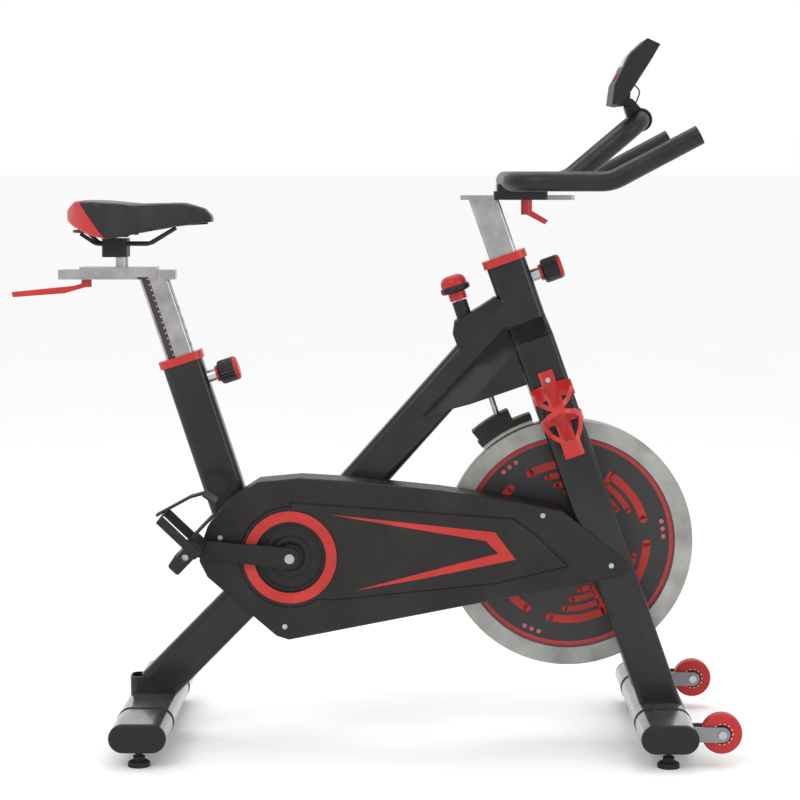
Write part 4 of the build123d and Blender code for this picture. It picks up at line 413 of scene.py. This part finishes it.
def ringed_cover():
    finish = Finish("ringed_cover", Specular_IOR_Level=0.3)
    radius = from_axle(finish, crank_axle)
    rings = finish.sine(radius * RECESS_RINGS)
    pebble = finish.cells(1500.0)
    cloud = finish.spread(finish.noise(14.0, 4.0), 0.45, 0.75)
    finish.feed(
        Base_Color=finish.mix(cloud, colour(0.010, 0.0085, 0.008), colour(0.018, 0.016, 0.015)),
        Roughness=finish.spread(finish.noise(120.0, 4.0), 0.3, 0.7, 0.36, 0.5),
    )
    finish.bump(rings * (1 - (radius > RECESS_EDGE)) + pebble * 0.12, 0.0005)
    return finish.material


wheel_tyres = {side: hubbed(f"transport_wheel_{side}") for side in ("left", "right")}
cover_rings = ringed_cover()
print("hubs and cover rings")

# %% [markdown]
# Every node from the frame takes one of these finishes. Listing them by finish shows at a glance what
# is plated, painted or moulded, and the check below finds any node that was left out.

# %% Finish every node
FINISHES = [
    (frame_black, "head_tube crown fork_leg_right fork_leg_left seat_tube diagonal_tube rear_strut bb_shell"),
    (frame_black, "bar_bracket shroud_plates"),
    (tube_lacquer, "front_stabilizer rear_stabilizer"),
    (post_plate, "seat_carriage head_post"),
    # The seat post's plating carries a painted reflection, a dark band down its right face.
    (post_reflection_plate, "seat_post"),
    (plain_steel, "frame_fasteners flywheel_axle bearings small_pulley bb_axle brake_rod"),
    (plain_steel, "brake_spring pedal_spindles"),
    (cover_black, "cover_inner cover_left"),
    (cover_rings, "cover_outer"),
    (part_black, "saddle_rails end_caps large_pulley crank_left crank_right brake_guide"),
    (part_black, "pedal_left pedal_right"),
    (part_black, "toe_cage_left toe_cage_right saddle_base console console_mount brake_caliper"),
    (pin_finishes["seat_pin"], "seat_pin"),
    (pin_finishes["bar_pin"], "bar_pin"),
    (brake_knob_finish, "brake_knob"),
    (red_shell, "post_collars seat_lever bar_lever bottle_cage console_button"),
    (foot_black, "foot_front_left foot_front_right foot_rear_left foot_rear_right belt console_wire"),
    (grip_black, "handlebar saddle"),
    (wheel_tyres["left"], "transport_wheel_left"),
    (wheel_tyres["right"], "transport_wheel_right"),
    (felt, "brake_pad"),
    (turned_wheel, "flywheel"),
]
finished = set()
for material, names in FINISHES:
    for name in names.split():
        nodes[name].data.materials.clear()
        nodes[name].data.materials.append(material)
        finished.add(name)
print("left out:", sorted(set(nodes) - finished))

# %% [markdown]
# Painted marks are thin plates a fifth of a millimetre thick. A ray sent straight in from the side finds
# the surface under each corner, so a mark lies on its piece whatever that piece's shape.

# %% Tools for small pieces
INK = 0.0002
PINHOLE = 0.0002


def piece(name, corners, faces, material, body, smooth=False):
    mesh = bpy.data.meshes.new(name)
    mesh.from_pydata([tuple(c) for c in corners], [], faces)
    mesh.update()
    mesh.materials.append(material)
    made = bpy.data.objects.new(name, mesh)
    bpy.context.collection.objects.link(made)
    if smooth:
        mesh.shade_smooth()
    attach(made, body)
    return made


def surface_of(node):
    return BVHTree.FromObject(nodes[node], bpy.context.evaluated_depsgraph_get())


def thicken(made, thickness):
    solid = made.modifiers.new("thickness", "SOLIDIFY")
    solid.thickness = thickness
    solid.offset = 0.0


def mark(name, strips, node, body, side=-1, material=None):
    """Strips of paired XZ points, laid on the right (-1) or left (1) face of a node."""
    tree = surface_of(node)
    corners, faces = [], []
    for strip in strips:
        start = len(corners)
        for x, z in strip:
            hit = tree.ray_cast(Vector((x, side * 1.0, z)), Vector((0, -side, 0)))[0]
            if hit is None:
                raise ValueError(f"{name}: nothing of {node} under {x:.4f}, {z:.4f}")
            corners.append(Vector((x, hit.y + side * INK, z)))
        half = len(strip) // 2
        for i in range(half - 1):
            faces.append((start + i, start + i + 1, start + half + i + 1, start + half + i))
    made = piece(name, corners, faces, material or mark_red, body)
    thicken(made, INK)
    return made


def arc(centre, radius, start, end, steps=0):
    count = max(3, steps or int(ceil(abs(end - start) / 3)))
    turns = [radians(start + (end - start) * i / count) for i in range(count + 1)]
    return [(centre[0] + radius * cos(t), centre[2] + radius * sin(t)) for t in turns]


def band(centre, inner, outer, start, end):
    return arc(centre, inner, start, end) + arc(centre, outer, start, end)


def disc(spot, radius):
    """A round dot: a band whose hole is too small to see."""
    return band((spot[0], 0, spot[1]), PINHOLE, radius, 0, 360)


mark_red = moulded("screen_printed_red", colour(0.40, 0.024, 0.018), 0.4, 3000.0, 0.00001)
mark_pink = moulded("screen_printed_rose", colour(0.42, 0.10, 0.11), 0.4, 3000.0, 0.00001)
print("marks are", INK * 1000, "mm proud")

# %% [markdown]
# The wheel's marks are three pairs of fans. In each, nested bars start at one spoke line and get shorter
# towards the axle. Between the pairs sit three small dots. Both faces are printed.

# %% Printed marks on the wheel
# each bar: its radius, how far it reaches from the pair's axis in degrees, and its thickness
FAN_BARS = [(0.140, 51, 0.014), (0.121, 40, 0.010), (0.104, 34, 0.010), (0.090, 24, 0.010)]
PAIR_AXES = (68, -52, -172)
STEM_TURN, STEM_HALF, STEM_FROM, STEM_TO = 10, 2.2, 0.085, 0.147
DOT_CENTRES, DOT_STEP, DOT_PLACE, DOT_RADIUS = (8, 128, -112), 4.6, 0.170, 0.004
for side, side_name in ((-1, "right"), (1, "left")):
    strips = []
    for pair_axis in PAIR_AXES:
        for way in (-1, 1):
            stem = pair_axis + way * STEM_TURN
            for radius, reach, thick in FAN_BARS:
                end = pair_axis + way * reach
                strips.append(band(axle, radius - thick / 2, radius + thick / 2, stem, end))
                tip = arc(axle, radius, end, end, 3)[0]
                strips.append(disc(tip, thick / 2))
            strips.append(band(axle, STEM_FROM, STEM_TO, stem - STEM_HALF, stem + STEM_HALF))
    mark(f"wheel_fans_{side_name}", strips, "flywheel", "flywheel", side)
    dots = []
    for centre_turn in DOT_CENTRES:
        for step in (-DOT_STEP, 0, DOT_STEP):
            spot = arc(axle, DOT_PLACE, centre_turn + step, centre_turn + step, 3)[0]
            dots.append(disc(spot, DOT_RADIUS))
    mark(f"wheel_dots_{side_name}", dots, "flywheel", "flywheel", side, mark_pink)
print("fans of", len(FAN_BARS), "bars")

# %% [markdown]
# The drive cover carries a long red chevron and a red ring round the crank. Both are printed on the
# moulding, so they follow its raised faces.

# %% Printed marks on the drive cover
OUTER_LINE = [(-71, 414), (86, 397), (217, 383), (253, 335), (86, 300), (-26, 280)]
INNER_LINE = [(-71, 414), (86, 387), (200, 368), (223, 346), (86, 310), (-26, 280)]
CRANK_RING = (0.0628, 0.0812)


def fine(line, parts=10):
    """The line with extra points between its corners, in metres, so that a plate can follow a surface."""
    points = []
    for (x0, z0), (x1, z1) in zip(line, line[1:]):
        for i in range(parts):
            x, z = x0 + (x1 - x0) * i / parts, z0 + (z1 - z0) * i / parts
            points.append((x / 1000, z / 1000))
    return points + [(line[-1][0] / 1000, line[-1][1] / 1000)]


mark("cover_chevron", [fine(OUTER_LINE) + fine(INNER_LINE)], "cover_outer", "frame")
mark("cover_ring", [band(crank_axle, *CRANK_RING, 0, 360)], "cover_outer", "frame")
print("chevron and ring on the cover")

# %% [markdown]
# The saddle is moulded foam under a stretched skin. Its solid is copied, made a little smaller, remeshed
# into even quads and blown up as cloth under pressure, which rounds it as foam rounds a skin. A cap on
# how far each point moves keeps it off the base. The red side panels are a change of colour in the skin.

# %% Saddle skin
RED_TOP, RED_SLOPE = Vector((-0.5056, 0.0, 0.9594)), 0.720
PANEL_INNER = 0.030


def skin_finish():
    finish = Finish("saddle_skin_two_colour", Sheen_Weight=0.1, Specular_IOR_Level=0.35)
    depth = along(finish, (0, 0, 0), (0, 1, 0))
    height = along(finish, RED_TOP, (0, 0, -1))
    length = along(finish, RED_TOP, (1, 0, 0))
    wide = finish.node("ShaderNodeMath", {"operation": "ABSOLUTE"}, {0: depth})
    red = (height * RED_SLOPE - length > 0.0) * (wide > PANEL_INNER)
    pores = finish.cells(900.0)
    finish.feed(
        Base_Color=finish.mix(red, colour(0.010, 0.0085, 0.0085), colour(0.44, 0.020, 0.024)),
        Roughness=finish.spread(finish.noise(60.0, 4.0), 0.3, 0.7, 0.36, 0.5),
    )
    finish.bump(pores + finish.noise(350.0) * 0.4, 0.00012)
    return finish.material


saddle_leather = skin_finish()
print("one skin in two colours")

# %% Saddle shape
VOXEL, SHRINK, SWELL_CAP = 0.004, 0.0016, 0.0019
PRESSURE, LAST_FRAME = 4.0, 20


def baked(made):
    """The object's mesh with its modifiers applied, and none left on it."""
    shown = made.evaluated_get(bpy.context.evaluated_depsgraph_get())
    mesh = bpy.data.meshes.new_from_object(shown)
    made.modifiers.clear()
    made.data = mesh


saddle_skin = bpy.data.objects.new("saddle_skin", nodes["saddle"].data.copy())
bpy.context.collection.objects.link(saddle_skin)
remesh = saddle_skin.modifiers.new("even_quads", "REMESH")
remesh.mode = "VOXEL"
remesh.voxel_size = VOXEL
baked(saddle_skin)
for vertex in saddle_skin.data.vertices:
    vertex.co -= vertex.normal * SHRINK
start = [vertex.co.copy() for vertex in saddle_skin.data.vertices]
cloth = saddle_skin.modifiers.new("foam", "CLOTH")
cloth.settings.use_pressure = True
cloth.settings.uniform_pressure_force = PRESSURE
cloth.settings.effector_weights.gravity = 0.0
cloth.settings.quality = 6
for step in range(1, LAST_FRAME + 1):
    bpy.context.scene.frame_set(step)
baked(saddle_skin)
for vertex, was in zip(saddle_skin.data.vertices, start):
    move = vertex.co - was
    if move.length > SWELL_CAP:
        vertex.co = was + move * (SWELL_CAP / move.length)
bpy.context.scene.frame_set(1)
smoother = saddle_skin.modifiers.new("rounding", "SUBSURF")
smoother.levels = smoother.render_levels = 1
baked(saddle_skin)
saddle_skin.data.materials.clear()
saddle_skin.data.materials.append(saddle_leather)
saddle_skin.data.shade_smooth()
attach(saddle_skin, "saddle")
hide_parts("saddle")
print("saddle skin", len(saddle_skin.data.vertices), "points")

# %% [markdown]
# A sewn edge hides where the two colours meet. It is a thin piping that follows the panel's edge: rays
# from the side find the skin along the line, and a round tube joins the spots.


# %% Piping along the panel's edge
def tube(name, points, radius, material, body):
    line = bpy.data.curves.new(name, "CURVE")
    line.dimensions = "3D"
    line.bevel_depth = radius
    line.bevel_resolution = 3
    line.use_fill_caps = True
    spline = line.splines.new("POLY")
    spline.points.add(len(points) - 1)
    for spot, point in zip(spline.points, points):
        spot.co = (*point, 1.0)
    line.materials.append(material)
    made = bpy.data.objects.new(name, line)
    bpy.context.collection.objects.link(made)
    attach(made, body)
    return made


skin_tree = BVHTree.FromObject(saddle_skin, bpy.context.evaluated_depsgraph_get())
PIPING = 0.0007
PIPING_TOP, PIPING_DROP, PIPING_SPOTS = 0.9535, 0.0575, 30
for side, side_name in ((-1, "right"), (1, "left")):
    spots = []
    for i in range(PIPING_SPOTS):
        z = PIPING_TOP - PIPING_DROP * i / (PIPING_SPOTS - 1)
        x = RED_TOP.x + (RED_TOP.z - z) * RED_SLOPE
        hit = skin_tree.ray_cast(Vector((x, side * 1.0, z)), Vector((0, -side, 0)))[0]
        if hit is not None and abs(hit.y) > PANEL_INNER:
            spots.append(hit)
    tube(f"saddle_piping_{side_name}", spots, PIPING, part_black, "saddle")
print("piping of", len(spots), "spots a side")

# %% [markdown]
# Bands and dots are the small things that make it read as made: a black strap round each floor tube,
# and pale dots round each wheel's hub.

# %% Bands on the floor tubes
BAND_FROM_END, BAND_WIDE, BAND_THICK, BAND_POINTS = 0.120, 0.010, 0.0006, 48
# a floor tube is a flat oval: its end, its height above the floor, its depth and its rounding
TUBE_END, TUBE_Z, TUBE_DEEP, TUBE_ROUND = 0.250, 0.053, 0.098, 0.0245
TUBE_X = {"front_stabilizer": 0.5095, "rear_stabilizer": -0.392}
for name in TUBE_X:
    for side, side_name in ((1, "left"), (-1, "right")):
        y = side * (TUBE_END - BAND_FROM_END)
        loop = []
        for i in range(BAND_POINTS):
            turn = 2 * pi * i / BAND_POINTS
            shift = (TUBE_DEEP / 2 - TUBE_ROUND) * (1 if cos(turn) >= 0 else -1)
            reach = TUBE_ROUND + BAND_THICK
            loop.append((TUBE_X[name] + shift + reach * cos(turn), TUBE_Z + reach * sin(turn)))
        ring = [Vector((x, y + d, z)) for d in (-BAND_WIDE / 2, BAND_WIDE / 2) for x, z in loop]
        quads = []
        for i in range(BAND_POINTS):
            following = (i + 1) % BAND_POINTS
            quads.append((i, following, BAND_POINTS + following, BAND_POINTS + i))
        strap = piece(f"{name}_band_{side_name}", ring, quads, foot_black, "frame")
        thicken(strap, BAND_THICK)
print("four bands")

# %% Dots on the transport wheels
DOT_COUNT, DOT_RING, DOT_SIZE = 14, 0.018, 0.0011
pale_dot = moulded("pale_print", colour(0.62, 0.58, 0.56), 0.5, 3000.0, 0.00001)
for side_name in ("left", "right"):
    wheel = f"transport_wheel_{side_name}"
    centre = middle(wheel)
    for face_side in (-1, 1):
        dots = []
        for i in range(DOT_COUNT):
            turn = 360 / DOT_COUNT * i
            spot = arc(centre, DOT_RING, turn, turn, 3)[0]
            dots.append(disc(spot, DOT_SIZE))
        tag = "outer" if (face_side > 0) == (side_name == "left") else "inner"
        mark(f"{wheel}_dots_{tag}", dots, wheel, wheel, face_side, pale_dot)
print("wheel dots")

# %% [markdown]
# The console's display sits behind a bulged clear lens on the rider's side. The lens is a grid of points
# laid on the front face by rays, each lifted by a low dome, so it fits whatever slope the face has.

# %% Console lens
LENS_Z, LENS_HALF, LENS_RISE = (1.188, 1.212), 0.045, 0.0028
console_tree = surface_of("console")
lens_glass = Finish("lens_smoke", Coat_Weight=0.5, Coat_Roughness=0.05)
lens_glass.feed(
    Base_Color=lens_glass.mix(lens_glass.noise(20.0), colour(0.012, 0.012, 0.014), colour(0.02, 0.02, 0.022)),
    Roughness=lens_glass.spread(lens_glass.noise(80.0), 0.3, 0.7, 0.06, 0.14),
)
corners, faces = [], []
ROWS, COLUMNS = 10, 20
for row in range(ROWS + 1):
    for column in range(COLUMNS + 1):
        up, wide = row / ROWS, column / COLUMNS
        z, y = LENS_Z[0] + (LENS_Z[1] - LENS_Z[0]) * up, LENS_HALF * (2 * wide - 1)
        hit, normal = console_tree.ray_cast(Vector((-1, y, z)), Vector((1, 0, 0)))[:2]
        rise = LENS_RISE * sqrt(max(0.0, sin(pi * up) * sin(pi * wide)))
        corners.append(hit + normal * (rise + INK))
for row in range(ROWS):
    for column in range(COLUMNS):
        a = row * (COLUMNS + 1) + column
        faces.append((a, a + 1, a + COLUMNS + 2, a + COLUMNS + 1))
thicken(piece("console_lens", corners, faces, lens_glass.material, "console", True), INK)
print("lens rises", LENS_RISE * 1000, "mm")

# %% [markdown]
# The camera stands at the right side, about as high as the handlebar, with a long lens. The
# floor and sky are pale, and three broad lamps put soft highlights along the tubes.

# %% Camera
camera = bpy.data.objects.new("camera", bpy.data.cameras.new("camera"))
bpy.context.collection.objects.link(camera)
camera.location = (0.086, -3.850, 1.010)
camera.rotation_euler = (radians(90 - 6.0176), 0.0, radians(0.525))
camera.data.lens = 98.18
camera.data.sensor_width = 36.0
bpy.context.scene.camera = camera
print("camera", tuple(round(v, 3) for v in camera.location))

# %% Floor, sky and lamps
floor_mesh = bpy.data.meshes.new("floor")
FLOOR_REACH = 400.0
floor_corners = [(x * FLOOR_REACH, y * FLOOR_REACH, 0) for x, y in ((-1, -1), (1, -1), (1, 1), (-1, 1))]
floor_mesh.from_pydata(floor_corners, [], [(0, 1, 2, 3)])
floor = bpy.data.objects.new("floor", floor_mesh)
bpy.context.collection.objects.link(floor)
paper = Finish("studio_paper", Roughness=0.9)
pale, paler = colour(0.93, 0.93, 0.93), colour(0.96, 0.96, 0.96)
paper.feed(Base_Color=paper.mix(paper.noise(2.0), pale, paler))
floor_mesh.materials.append(paper.material)

bpy.context.scene.view_settings.view_transform = "Standard"
world = bpy.data.worlds.new("sky")
bpy.context.scene.world = world
world.use_nodes = True
world.node_tree.nodes["Background"].inputs["Color"].default_value = colour(1.0, 1.0, 1.0)
world.node_tree.nodes["Background"].inputs["Strength"].default_value = 1.0


def lamp(name, place, target, size, power):
    data = bpy.data.lights.new(name, "AREA")
    data.shape = "RECTANGLE"
    data.size, data.size_y = size
    data.energy = power
    made = bpy.data.objects.new(name, data)
    bpy.context.collection.objects.link(made)
    made.location = place
    made.rotation_euler = (Vector(target) - Vector(place)).to_track_quat("-Z", "Y").to_euler()
    return made


lamp("key", (-1.6, -2.6, 2.8), (0, 0, 0.6), (1.6, 1.2), 34)
lamp("fill", (2.4, -2.2, 1.6), (0, 0, 0.6), (1.2, 1.6), 16)
lamp("top", (0.2, 0.6, 3.0), (0, 0, 0.6), (2.4, 1.2), 26)
print("three lamps")
